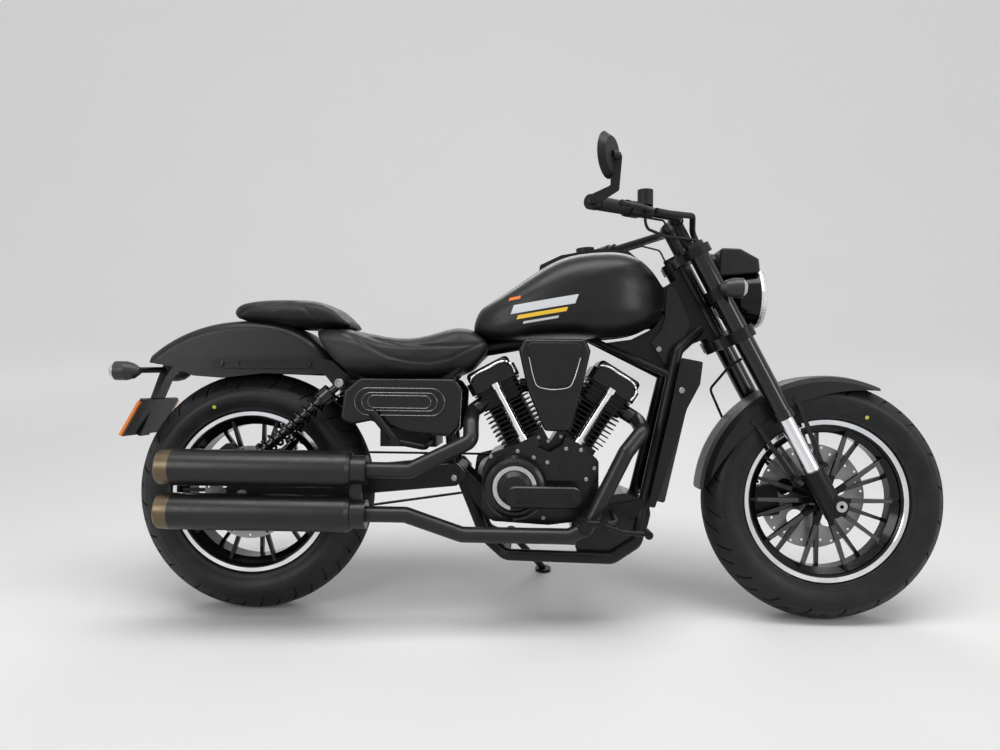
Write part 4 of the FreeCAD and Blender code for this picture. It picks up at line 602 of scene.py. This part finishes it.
looks["frontWheel"] = wheelLook("frontWheelPaint", stance["frontAxle"], 0.046, 0.1)
looks["rearWheel"] = wheelLook("rearWheelPaint", stance["rearAxle"], 0.056, 0.0)
looks["frontTyre"] = tyreLook("frontTyreRubber", stance["frontAxle"], 1.639, 0.544)
looks["rearTyre"] = tyreLook("rearTyreRubber", stance["rearAxle"], -0.1, 0.55)
looks["leather"] = leatherLook()
looks["tank"] = tankLook()
looks["muffler"] = mufflerLook()
looks["lampBowl"] = lampLook()
looks["lampRim"] = lampRingLook()
looks["frontSignal"] = signalLook("frontSignalShell", 1.277, 1.2785)
looks["rearSignal"] = signalLook("rearSignalShell", -0.3285, -0.33)
looks["radiatorCore"] = radiatorLook()
looks["clearGlass"] = glassLook("clearLens", (0.9, 0.93, 0.95), 0.3)
print("materials made:", len(looks))

nodeLooks = {
    "front_rim": "frontWheel", "rear_rim": "rearWheel", "front_tyre": "frontTyre", "rear_tyre": "rearTyre",
    "front_disc": "discSteel", "rear_disc": "discSteel", "rear_pulley": "satinBlack", "front_axle": "steel",
    "fork_tubes": "glossBlack", "fork_sliders": "chrome", "fork_lowers": "satinBlack",
    "fork_clamps": "satinBlack", "front_mudguard": "bodyBlack", "front_caliper": "satinBlack",
    "headlamp_shell": "lampBowl", "headlamp_ring": "lampRim", "headlamp_lens": "clearGlass",
    "headlamp_cowl": "bodyBlack", "front_signals": "frontSignal", "handlebar": "satinBlack",
    "grips": "rubber", "bar_controls": "darkPlastic", "mirrors": "darkPlastic", "mirror_glass": "mirror",
    "frame": "satinBlack", "seat_rails": "satinBlack", "radiator": "radiatorCore",
    "radiator_cover": "darkPlastic", "swingarm": "satinBlack", "rear_axle": "steel", "shocks": "glossBlack",
    "rear_caliper": "satinBlack", "drive_belt": "beltRubber", "front_pulley": "steel",
    "crankcase": "castBlack", "cylinders": "finBlack", "rocker_boxes": "castBlack",
    "pushrod_tubes": "chrome", "engine_covers": "castBlack", "air_cleaner": "castBlack",
    "exhaust_pipes": "muffler", "mufflers": "muffler",
    "fuel_tank": "tank", "tank_console": "darkPlastic", "rear_mudguard": "bodyBlack",
    "rider_seat": "leather", "pillion_seat": "leather", "side_covers": "coverPlastic",
    "battery_box": "darkPlastic", "foot_pegs": "satinBlack", "tail_bracket": "darkPlastic",
    "rear_signals": "rearSignal", "rear_lenses": "amber", "side_stand": "satinBlack",
    "brake_hose": "rubber", "bar_cables": "rubber",
}


def dressNodes():
    for name, thing in nodes.items():
        thing.data.materials.clear()
        thing.data.materials.append(looks[nodeLooks[name]])


dressNodes()


# Stage
stage = {"size": 24.0, "wallY": 8.5, "wallHeight": 7.0, "bend": 2.4, "backdrop": 0.37, "glow": (1.2, 6.0),
         "sky": 0.8, "ambient": 0.3}


def seenRays(tree):
    path = node(tree, "LightPath")
    seen = sums(tree, "MAXIMUM", path.outputs["Is Camera Ray"], path.outputs["Is Glossy Ray"])
    return sums(tree, "MAXIMUM", seen, path.outputs["Is Transmission Ray"])


def makeStage():
    half = stage["size"] / 2
    bpy.ops.mesh.primitive_plane_add(size=stage["size"], location=(0, stage["wallY"] - half, 0))
    floor = bpy.context.object
    floor.name = "studioFloor"
    bpy.ops.object.transform_apply(location=True, rotation=True, scale=True)
    bpy.ops.object.mode_set(mode="EDIT")
    bpy.ops.mesh.select_mode(type="EDGE")
    bpy.ops.mesh.select_all(action="DESELECT")
    mesh = bmesh.from_edit_mesh(floor.data)
    for edge in mesh.edges:
        edge.select_set(all(v.co.y > stage["wallY"] - 0.01 for v in edge.verts))
    bmesh.update_edit_mesh(floor.data)
    bpy.ops.mesh.extrude_region_move(TRANSFORM_OT_translate={"value": (0, 0, stage["wallHeight"])})
    bpy.ops.object.mode_set(mode="OBJECT")
    applyModifier(floor, "BEVEL", width=stage["bend"], segments=14, limit_method="ANGLE")
    bpy.ops.object.shade_smooth()
    look, tree, bsdf = shader("paleFloor")
    spot = objectPlace(tree)
    tone = mixed(tree, noise(tree, spot, 1.5), (0.72, 0.715, 0.71), (0.76, 0.755, 0.75))
    tree.links.new(tone, bsdf.inputs["Base Color"])
    away = reachFrom(tree, spot, (1, 1, 0))
    glow = sums(tree, "MULTIPLY", ranged(tree, away, *stage["glow"]), seenRays(tree))
    tree.links.new(sums(tree, "MULTIPLY", glow, stage["backdrop"]), bsdf.inputs["Emission Strength"])
    bsdf.inputs["Emission Color"].default_value = (1, 0.995, 0.99, 1)
    bsdf.inputs["Roughness"].default_value = 0.7
    floor.data.materials.append(look)


# Soft lamps: place, target, width and height, and power
lamps = (
    ((0.1, -0.7, 3.2), (0, 0, 0.4), (4.4, 1.2), 95),
    ((-2.6, -3.0, 2.0), (0, 0, 0.5), (1.2, 1.6), 32),
    ((3.0, -2.4, 1.8), (0.3, 0, 0.5), (1.0, 1.6), 26),
    ((0.0, 3.0, 2.6), (0, 0, 0.5), (3.4, 1.2), 42),
)


def softLight(spot, target, size, power):
    bpy.ops.object.light_add(type="AREA", location=spot)
    light = bpy.context.object
    light.data.shape = "RECTANGLE"
    light.data.size, light.data.size_y = size
    light.data.energy = power
    light.rotation_euler = (Vector(target) - Vector(spot)).to_track_quat("-Z", "Y").to_euler()


def makeWorld():
    if bpy.context.scene.world is None:
        bpy.context.scene.world = bpy.data.worlds.new("studio")
    world = bpy.context.scene.world
    world.use_nodes = True
    tree = world.node_tree
    background = tree.nodes["Background"]
    background.inputs["Color"].default_value = (0.98, 0.99, 1.0, 1)
    ambient = stage["ambient"]
    strength = sums(tree, "MULTIPLY_ADD", seenRays(tree), stage["sky"] - ambient, ambient)
    tree.links.new(strength, background.inputs["Strength"])


makeStage()
makeWorld()
for lampSettings in lamps:
    softLight(*lampSettings)
bpy.context.scene.view_settings.view_transform = "Standard"
print("stage made")


# Tyres
tyres = {
    "front": {"axle": stance["frontAxle"], "outer": 0.320, "width": 0.130, "rim": 0.092,
              "body": "front_wheel"},
    "rear": {"axle": stance["rearAxle"], "outer": 0.323, "width": 0.150, "rim": 0.112,
             "body": "rear_wheel"},
    "crown": 0.076, "shoulderDrop": 0.0035, "flange": 0.216, "segments": 240, "rows": 12,
    "slant": math.radians(10.0), "pitch": 12, "longRows": (1, 9), "shortRows": (6, 11), "treadDrop": 0.042,
    "grooveEdge": 0.001, "grooveDepth": 0.0045,
}


def tyreProfile(size):
    crown = tyres["crown"]
    centre = size["outer"] - crown
    shoulderY = size["width"] / 2 - tyres["shoulderDrop"]
    half = []
    last = math.asin(shoulderY / crown)
    for step in range(tyres["rows"] + 1):
        angle = last * step / tyres["rows"]
        half.append((crown * math.sin(angle), centre + crown * math.cos(angle)))
    lip = tyres["flange"] + 0.005
    foot = size["rim"] / 2 + 0.003
    top = half[-1]
    bulge = ((size["width"] / 2, (top[1] + lip) / 2 + 0.006))
    controlY = 2 * bulge[0] - (top[0] + foot) / 2
    controlZ = 2 * bulge[1] - (top[1] + lip) / 2
    for share in (0.12, 0.3, 0.5, 0.66, 0.8):
        low = (1 - share) ** 2
        mid = 2 * share * (1 - share)
        end = share ** 2
        half.append((low * top[0] + mid * controlY + end * foot, low * top[1] + mid * controlZ + end * lip))
    bead = [(foot + 0.0035, lip + 0.004), (foot + 0.0035, lip + 0.0005), (foot, lip - 0.001),
            (size["rim"] / 2 - 0.008, lip - 0.001), (size["rim"] / 2 - 0.01, tyres["flange"] - 0.011)]
    liner = [(size["rim"] / 2 - 0.018, tyres["flange"] - 0.010), (shoulderY - 0.011, top[1] - 0.02),
             (shoulderY * 0.5, size["outer"] - 0.018)]
    return half + bead + liner


def makeTyre(side):
    size = tyres[side]
    axleX, axleZ = size["axle"]
    half = tyreProfile(size)
    loop = half + [(-y, r) for y, r in reversed(half[1:])] + [half[0]]
    points = [(axleX, y, axleZ + r) for y, r in loop]
    piece = spunProfile(points, (axleX, 0, axleZ), (0, 1, 0), tyres["segments"])
    # Turned about the axle in step with the distance from the middle, so that the grooves run slanted
    for vertex in piece.data.vertices:
        dx, dz = vertex.co.x - axleX, vertex.co.z - axleZ
        turn = tyres["slant"] * abs(vertex.co.y) / (size["width"] / 2)
        vertex.co.x = axleX + dx * math.cos(turn) - dz * math.sin(turn)
        vertex.co.z = axleZ + dx * math.sin(turn) + dz * math.cos(turn)
    bpy.ops.object.mode_set(mode="EDIT")
    bpy.ops.mesh.select_mode(type="FACE")

    def grooved(face):
        middle = face.calc_center_median()
        dx, dz = middle.x - axleX, middle.z - axleZ
        if math.hypot(dx, dz) < size["outer"] - tyres["treadDrop"]:
            return False
        share = abs(middle.y) / (size["width"] / 2)
        angle = math.atan2(dx, dz) + tyres["slant"] * share
        column = int((angle / (2 * math.pi)) % 1 * tyres["segments"])
        inPitch = (column + (0 if middle.y > 0 else tyres["pitch"] // 2)) % tyres["pitch"]
        rows = {0: tyres["longRows"], tyres["pitch"] // 2: tyres["shortRows"]}.get(inPitch)
        return rows is not None and rows[0] <= int(share * tyres["rows"]) <= rows[1]

    pickFaces(piece, grooved)
    bpy.ops.mesh.inset(thickness=tyres["grooveEdge"], depth=0)
    bpy.ops.mesh.extrude_region_shrink_fatten(TRANSFORM_OT_shrink_fatten={"value": -tyres["grooveDepth"]})
    bpy.ops.object.mode_set(mode="OBJECT")
    dress(piece, side + "TyreTread", size["body"], looks[side + "Tyre"], 40)
    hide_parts(side + "_tyre")


for side in ("front", "rear"):
    makeTyre(side)
print("tyres made")


# Seats
seats = {
    "rider": {
        "node": "rider_seat", "cap": 0.004, "pressure": 2.0,
        "seams": (
            ((0.205, 0.778), (0.232, 0.762), (0.293, 0.737), (0.333, 0.715), (0.385, 0.689), (0.437, 0.679),
             (0.489, 0.676), (0.541, 0.688), (0.586, 0.714), (0.632, 0.736)),
            ((0.262, 0.772), (0.290, 0.757), (0.349, 0.734), (0.416, 0.718), (0.483, 0.717), (0.549, 0.720),
             (0.612, 0.726)),
        ),
    },
    "pillion": {
        "node": "pillion_seat", "cap": 0.004, "pressure": 2.0,
        "seams": (
            ((-0.055, 0.792), (-0.011, 0.810), (0.029, 0.824), (0.100, 0.824), (0.150, 0.818), (0.177, 0.792),
             (0.192, 0.764)),
        ),
    },
    "voxel": 0.005, "seamDepth": 0.0035, "seamWidth": 0.009, "stitch": 0.0065, "stitchDrop": 0.0055,
    "frames": 16, "mass": 0.2,
}


def copiedNode(name):
    take(nodes[name])
    bpy.ops.object.duplicate()
    piece = bpy.context.object
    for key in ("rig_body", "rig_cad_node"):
        del piece[key]
    piece.parent = None
    return mend(piece)


def padOut(piece, pressure, cap):
    start = [v.co.copy() for v in piece.data.vertices]
    take(piece)
    cloth = piece.modifiers.new("pad", "CLOTH")
    cloth.settings.use_pressure = True
    cloth.settings.uniform_pressure_force = pressure
    cloth.settings.effector_weights.gravity = 0
    cloth.settings.mass = seats["mass"]
    cloth.settings.quality = 4
    cloth.point_cache.frame_end = 20
    for step in range(1, seats["frames"] + 1):
        bpy.context.scene.frame_set(step)
    bpy.ops.object.modifier_apply(modifier=cloth.name)
    bpy.context.scene.frame_set(1)
    for vertex, spot in zip(piece.data.vertices, start):
        move = vertex.co - spot
        if move.length > cap:
            vertex.co = spot + move.normalized() * cap


def nearestOnRoute(route, x, z):
    nearest = 1.0
    for (ax, az), (bx, bz) in zip(route, route[1:]):
        long2 = (bx - ax) ** 2 + (bz - az) ** 2
        share = max(0.0, min(1.0, ((x - ax) * (bx - ax) + (z - az) * (bz - az)) / long2))
        nearest = min(nearest, math.hypot(x - ax - share * (bx - ax), z - az - share * (bz - az)))
    return nearest


# Points along a seam, evenly spaced on a curve through its corners
def evenRoute(route, step):
    line = tubeAlong([(x, 0, z) for x, z in route], 0)
    corners = [v.co.copy() for v in line.data.vertices]
    bpy.data.objects.remove(line)
    spots = [corners[0]]
    for start, end in zip(corners, corners[1:]):
        while (end - spots[-1]).length >= step:
            spots.append(spots[-1] + (end - spots[-1]).normalized() * step)
    return [(spot.x, spot.z) for spot in spots]


def sewSeams(piece, seams):
    width = seats["seamWidth"]
    for vertex in piece.data.vertices:
        spot = upright @ vertex.co
        if abs(spot.y) < 0.02:
            continue
        near = min(nearestOnRoute(route, spot.x, spot.z) for route in seams)
        if near < width:
            share = 1 - near / width
            inward = parking.to_3x3() @ Vector((0, -math.copysign(1, spot.y), -0.5)).normalized()
            vertex.co += inward * seats["seamDepth"] * share * share * (3 - 2 * share)


# A row of short stitches on each side of a seam, laid on the finished pad
def stitchRows(piece, side, seams):
    mesh = piece.data
    tree = BVHTree.FromPolygons([v.co for v in mesh.vertices], [tuple(f.vertices) for f in mesh.polygons])
    places = []
    for route in seams:
        spots = evenRoute(route, seats["stitch"])
        for hand in (-1, 1):
            for (x, z), (nextX, nextZ) in zip(spots, spots[1:]):
                start = parking @ Vector((x, hand * outside, z - seats["stitchDrop"]))
                spot, normal, _, _ = tree.ray_cast(start, parking.to_3x3() @ Vector((0, -hand, 0)))
                if spot is None:
                    continue
                along = parking.to_3x3() @ Vector((nextX - x, 0, nextZ - z)).normalized()
                along = (along - normal * along.dot(normal)).normalized()
                turn = Matrix((along, normal.cross(along), normal)).transposed().to_4x4()
                places.append(Matrix.Translation(spot) @ turn)
    clear()
    bpy.ops.mesh.primitive_uv_sphere_add(segments=6, ring_count=4, radius=0.5)
    model = bpy.context.object
    model.scale = (seats["stitch"] * 0.72, 0.0011, 0.0011)
    bpy.ops.object.transform_apply(location=True, rotation=True, scale=True)
    rows = copies(model, places)
    dress(rows, side + "SeatStitches", "chassis", looks["thread"], 60, parked=False)


def makeSeat(side):
    size = seats[side]
    piece = copiedNode(size["node"])
    applyModifier(piece, "REMESH", mode="VOXEL", voxel_size=seats["voxel"], use_smooth_shade=True)
    applyModifier(piece, "SMOOTH", factor=0.5, iterations=8)
    padOut(piece, size["pressure"], size["cap"])
    applyModifier(piece, "SMOOTH", factor=0.5, iterations=6)
    applyModifier(piece, "SUBSURF", levels=1, render_levels=1)
    sewSeams(piece, size["seams"])
    dress(piece, side + "SeatPad", "chassis", looks["leather"], 0, parked=False)
    take(piece)
    bpy.ops.object.shade_smooth()
    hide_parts(size["node"])
    stitchRows(piece, side, size["seams"])


for side in ("rider", "pillion"):
    makeSeat(side)
print("seats made")


# Socket bolts, sunk a little into the surface that carries them. The shares are of a bolt's radius.
bolt = {"sides": 18, "sunk": 0.0012, "chamfer": 0.12, "land": 0.22, "wall": 0.03, "socket": 0.6}


def boltModel(radius, height):
    clear()
    bpy.ops.mesh.primitive_cylinder_add(vertices=bolt["sides"], radius=radius, depth=height + bolt["sunk"])
    piece = bpy.context.object
    piece.location.z = (height - bolt["sunk"]) / 2
    bpy.ops.object.transform_apply(location=True, rotation=True, scale=True)
    bpy.ops.object.mode_set(mode="EDIT")
    bpy.ops.mesh.select_mode(type="FACE")
    pickFaces(piece, lambda face: face.normal.z > 0.9)
    bpy.ops.mesh.inset(thickness=radius * bolt["chamfer"], depth=radius * bolt["chamfer"])
    bpy.ops.mesh.inset(thickness=radius * bolt["land"], depth=0)
    bpy.ops.mesh.inset(thickness=radius * bolt["wall"], depth=-height * bolt["socket"])
    bpy.ops.object.mode_set(mode="OBJECT")
    return piece


boltRows = {
    "engineBolts": {
        "body": "chassis", "slot": "bright_steel", "look": "boltSteel", "radius": 0.0054, "height": 0.004,
        "on": ("crankcase", "engine_covers", "cylinders"), "side": -1,
        "spots": ((0.773, 0.480), (0.799, 0.470), (0.807, 0.504), (0.833, 0.483), (0.843, 0.456),
                  (0.881, 0.453), (0.795, 0.420), (0.895, 0.378), (0.918, 0.404), (0.760, 0.432),
                  (0.718, 0.448), (0.885, 0.489), (0.727, 0.493), (0.787, 0.273), (0.648, 0.431)),
    },
    "frameBolts": {
        "body": "chassis", "slot": "bright_steel", "look": "boltSteel", "radius": 0.0078, "height": 0.005,
        "on": ("frame", "seat_rails", "side_covers", "foot_pegs", "radiator_cover", "swingarm"), "side": -1,
        "spots": ((0.5552, 0.3767), (1.000, 0.360), (0.9865, 0.2212), (1.094, 0.720), (1.138, 0.610)),
    },
    "shockBolts": {
        "body": "chassis", "slot": "bright_steel", "look": "boltSteel", "radius": 0.0118, "height": 0.006,
        "on": ("seat_rails", "shocks"), "side": 0, "spots": ((0.254, 0.618),),
    },
    "rackBolts": {
        "body": "chassis", "slot": "frame_black", "look": "glossBlack", "radius": 0.0068, "height": 0.004,
        "on": ("seat_rails",), "side": 0, "spots": ((0.165, 0.668), (-0.070, 0.668)),
    },
}


def makeBolts(name):
    row = boltRows[name]
    places = []
    for side in ((-1, 1) if row["side"] == 0 else (row["side"],)):
        for x, z in row["spots"]:
            found = surfaceAt(row["on"], x, z, side) or surfaceAt(row["on"], x + row["radius"], z, side)
            if found is None:
                print("no surface for", name, x, z)
                continue
            places.append(facing((x, found[0].y, z), (0, side, 0)))
    piece = copies(boltModel(row["radius"], row["height"]), places)
    dress(piece, name, row["body"], looks[row["look"]], 30)


for name in boltRows:
    makeBolts(name)
print("bolts made")


# Bright trim on the engine
engineTrim = {
    "hookRadius": 0.0032, "hookLift": 0.001, "crank": (0.8, 0.352), "cylinders": (-28.0, 32.0),
    "hook": ((-0.058, 0.337), (-0.054, 0.344), (-0.044, 0.350), (0.0, 0.352), (0.044, 0.350), (0.054, 0.344),
             (0.060, 0.334), (0.062, 0.322), (0.060, 0.308)),
    "cleaner": ((0.745, 0.690), (0.760, 0.630), (0.766, 0.618), (0.777, 0.6125), (0.839, 0.6125),
                (0.850, 0.618), (0.857, 0.630), (0.875, 0.690)),
    "cleanerRadius": 0.0019, "cleanerLift": 0.0005,
    "ring": {"x": 0.712, "z": 0.356, "y": -0.158, "inner": 0.0455, "outer": 0.0565, "depth": 0.004,
             "from": 8.0, "sweep": 250.0, "steps": 60, "bevel": 0.0007},
}


def laidRoute(route, names, side, lift):
    laid = []
    for x, z in route:
        found = surfaceAt(names, x, z, side)
        laid.append((x, found[0].y + side * lift if found else None, z))
    known = [y for _, y, _ in laid if y is not None]
    return [(x, y if y is not None else known[0], z) for x, y, z in laid]


# Places given across and along a cylinder, turned with it about the crank
def onCylinder(route, angle):
    crankX, crankZ = engineTrim["crank"]
    wide, tall = math.cos(math.radians(angle)), math.sin(math.radians(angle))
    return [(crankX + across * wide + along * tall, crankZ - across * tall + along * wide)
            for across, along in route]


def makeHooks():
    made = []
    for side in (-1, 1):
        for angle in engineTrim["cylinders"]:
            route = onCylinder(engineTrim["hook"], angle)
            laid = laidRoute(route, ("rocker_boxes",), side, engineTrim["hookLift"])
            made.append(tubeAlong(laid, engineTrim["hookRadius"]))
    dress(joinAll(made), "rockerTrim", "chassis", looks["chrome"], 40)


def makeCleanerTrim():
    laid = laidRoute(engineTrim["cleaner"], ("air_cleaner",), -1, engineTrim["cleanerLift"])
    level = max(y for _, y, _ in laid)
    line = tubeAlong([(x, level, z) for x, _, z in laid], engineTrim["cleanerRadius"])
    dress(line, "airCleanerTrim", "chassis", looks["chrome"], 40)


def makeClutchRing():
    ring = engineTrim["ring"]
    clear()
    middle = (ring["inner"] + ring["outer"]) / 2
    centre = (ring["x"], ring["y"], ring["z"])
    bpy.ops.mesh.primitive_plane_add(size=1, location=(ring["x"] + middle, ring["y"], ring["z"]))
    piece = bpy.context.object
    piece.scale = (ring["outer"] - ring["inner"], ring["depth"], 1)
    bpy.ops.object.transform_apply(location=True, rotation=True, scale=True)
    bpy.ops.object.mode_set(mode="EDIT")
    bpy.ops.mesh.select_all(action="SELECT")
    sweep = math.radians(ring["sweep"])
    bpy.ops.mesh.spin(steps=ring["steps"], angle=sweep, center=centre, axis=(0, 1, 0))
    bpy.ops.object.mode_set(mode="OBJECT")
    turn = Matrix.Translation(centre) @ Matrix.Rotation(math.radians(-ring["from"]), 4, "Y")
    place(piece, turn @ Matrix.Translation([-c for c in centre]))
    mend(piece)
    applyModifier(piece, "BEVEL", width=ring["bevel"], segments=2, limit_method="ANGLE")
    dress(piece, "clutchRing", "chassis", looks["clutchRing"], 30)


# The oblong cover over the clutch cover, and thin grey-metal lines along the edges of the side covers' steps:
# the steps are real, the lines are a painted highlight for the light those edges catch
covers = {
    "oblong": {"rear": 0.7153, "front": 0.857, "z": 0.3355, "half": 0.0275, "proud": 0.008, "sunk": 0.02,
               "lookedAt": (0.70, 0.73, 0.76, 0.80, 0.84), "sides": 48},
    "ribs": (-0.011, 0.0, 0.011), "ribRadius": 0.0018, "ribLift": 0.0025,
    "ringCentre": (0.414, 0.572), "rings": ((0.116, 0.035), (0.097, 0.023), (0.081, 0.016)),
    "ringRadius": 0.001, "ringLift": 0.0003, "ringSteps": 32,
}


def makeOblong():
    size = covers["oblong"]
    level = min(surfaceAt(("engine_covers",), x, size["z"], -1)[0].y for x in size["lookedAt"])
    outer, inner = level - size["proud"], level + size["sunk"]
    clear()
    bpy.ops.mesh.primitive_cylinder_add(vertices=size["sides"], radius=size["half"], depth=inner - outer,
                                        location=(size["rear"], (outer + inner) / 2, size["z"]),
                                        rotation=(math.radians(90), 0, 0))
    piece = bpy.context.object
    bpy.ops.object.transform_apply(location=True, rotation=True, scale=True)
    for vertex in piece.data.vertices:
        if vertex.co.x > size["rear"] + 0.0001:
            vertex.co.x += size["front"] - size["rear"]
    bpy.ops.object.mode_set(mode="EDIT")
    bpy.ops.mesh.select_mode(type="FACE")
    pickFaces(piece, lambda face: face.normal.y < -0.9)
    bpy.ops.mesh.inset(thickness=0.0035, depth=0.003)
    bpy.ops.mesh.inset(thickness=0.0025, depth=0)
    bpy.ops.mesh.inset(thickness=0.0006, depth=-0.0012)
    bpy.ops.object.mode_set(mode="OBJECT")
    made = [piece]
    for rise in covers["ribs"]:
        y = outer - covers["ribLift"]
        ends = [(x, y, size["z"] + rise) for x in (size["rear"], size["front"])]
        made.append(tubeAlong(ends, covers["ribRadius"], rounded=False))
    dress(joinAll(made), "oblongCover", "chassis", looks["castBlack"], 30)


def stadiumRoute(halfLong, halfTall):
    x, z = covers["ringCentre"]
    steps = covers["ringSteps"]
    route = []
    for step in range(steps + 1):
        angle = 2 * math.pi * (step % steps + 0.5) / steps
        end = math.copysign(halfLong - halfTall, math.cos(angle))
        route.append((x + end + halfTall * math.cos(angle), z + halfTall * math.sin(angle)))
    return route


# Painted highlight: grey metal lines laid along the side covers' step edges stand in for the light those
# edges catch
def makeStepHighlights():
    made = []
    for halfLong, halfTall in covers["rings"]:
        route = stadiumRoute(halfLong, halfTall)
        laid = laidRoute(route, ("side_covers",), -1, covers["ringLift"])
        made.append(tubeAlong(laid, covers["ringRadius"], rounded=False, sides=1))
    dress(joinAll(made), "coverStepHighlights", "chassis", looks["paintedStepHighlight"], 40)


makeHooks()
makeCleanerTrim()
makeClutchRing()
makeOblong()
makeStepHighlights()
print("engine trim made")


# Two round projectors, one above the other, and the bar between them
inside = {
    "setBack": 0.03, "apart": 0.03, "eyeRadius": 0.024, "steps": 32,
    "bar": (0.012, 0.124, 0.007), "barAhead": 0.004, "barBevel": 0.002,
}


def makeLampInside():
    x, z = lamp["x"] - inside["setBack"], lamp["z"]
    eye = inside["eyeRadius"]
    profile = [(-0.012, 0), (-0.012, eye), (0.006, eye), (0.006, eye - 0.003), (0.002, eye - 0.005),
               (0.008, eye * 0.55), (0.012, 0)]
    made = []
    for shift in (-inside["apart"], inside["apart"]):
        points = [(x + ahead, 0, z + rise + shift) for ahead, rise in profile]
        made.append(spunProfile(points, (x, 0, z + shift), (1, 0, 0), inside["steps"]))
    clear()
    bpy.ops.mesh.primitive_cube_add(size=1, location=(x + inside["barAhead"], 0, z))
    bar = bpy.context.object
    bar.scale = inside["bar"]
    bpy.ops.object.transform_apply(location=True, rotation=True, scale=True)
    applyModifier(bar, "BEVEL", width=inside["barBevel"], segments=3)
    made.append(bar)
    dress(joinAll(made), "headlampInside", "steering", looks["glossBlack"], 35)


makeLampInside()
print("lamp inside made")
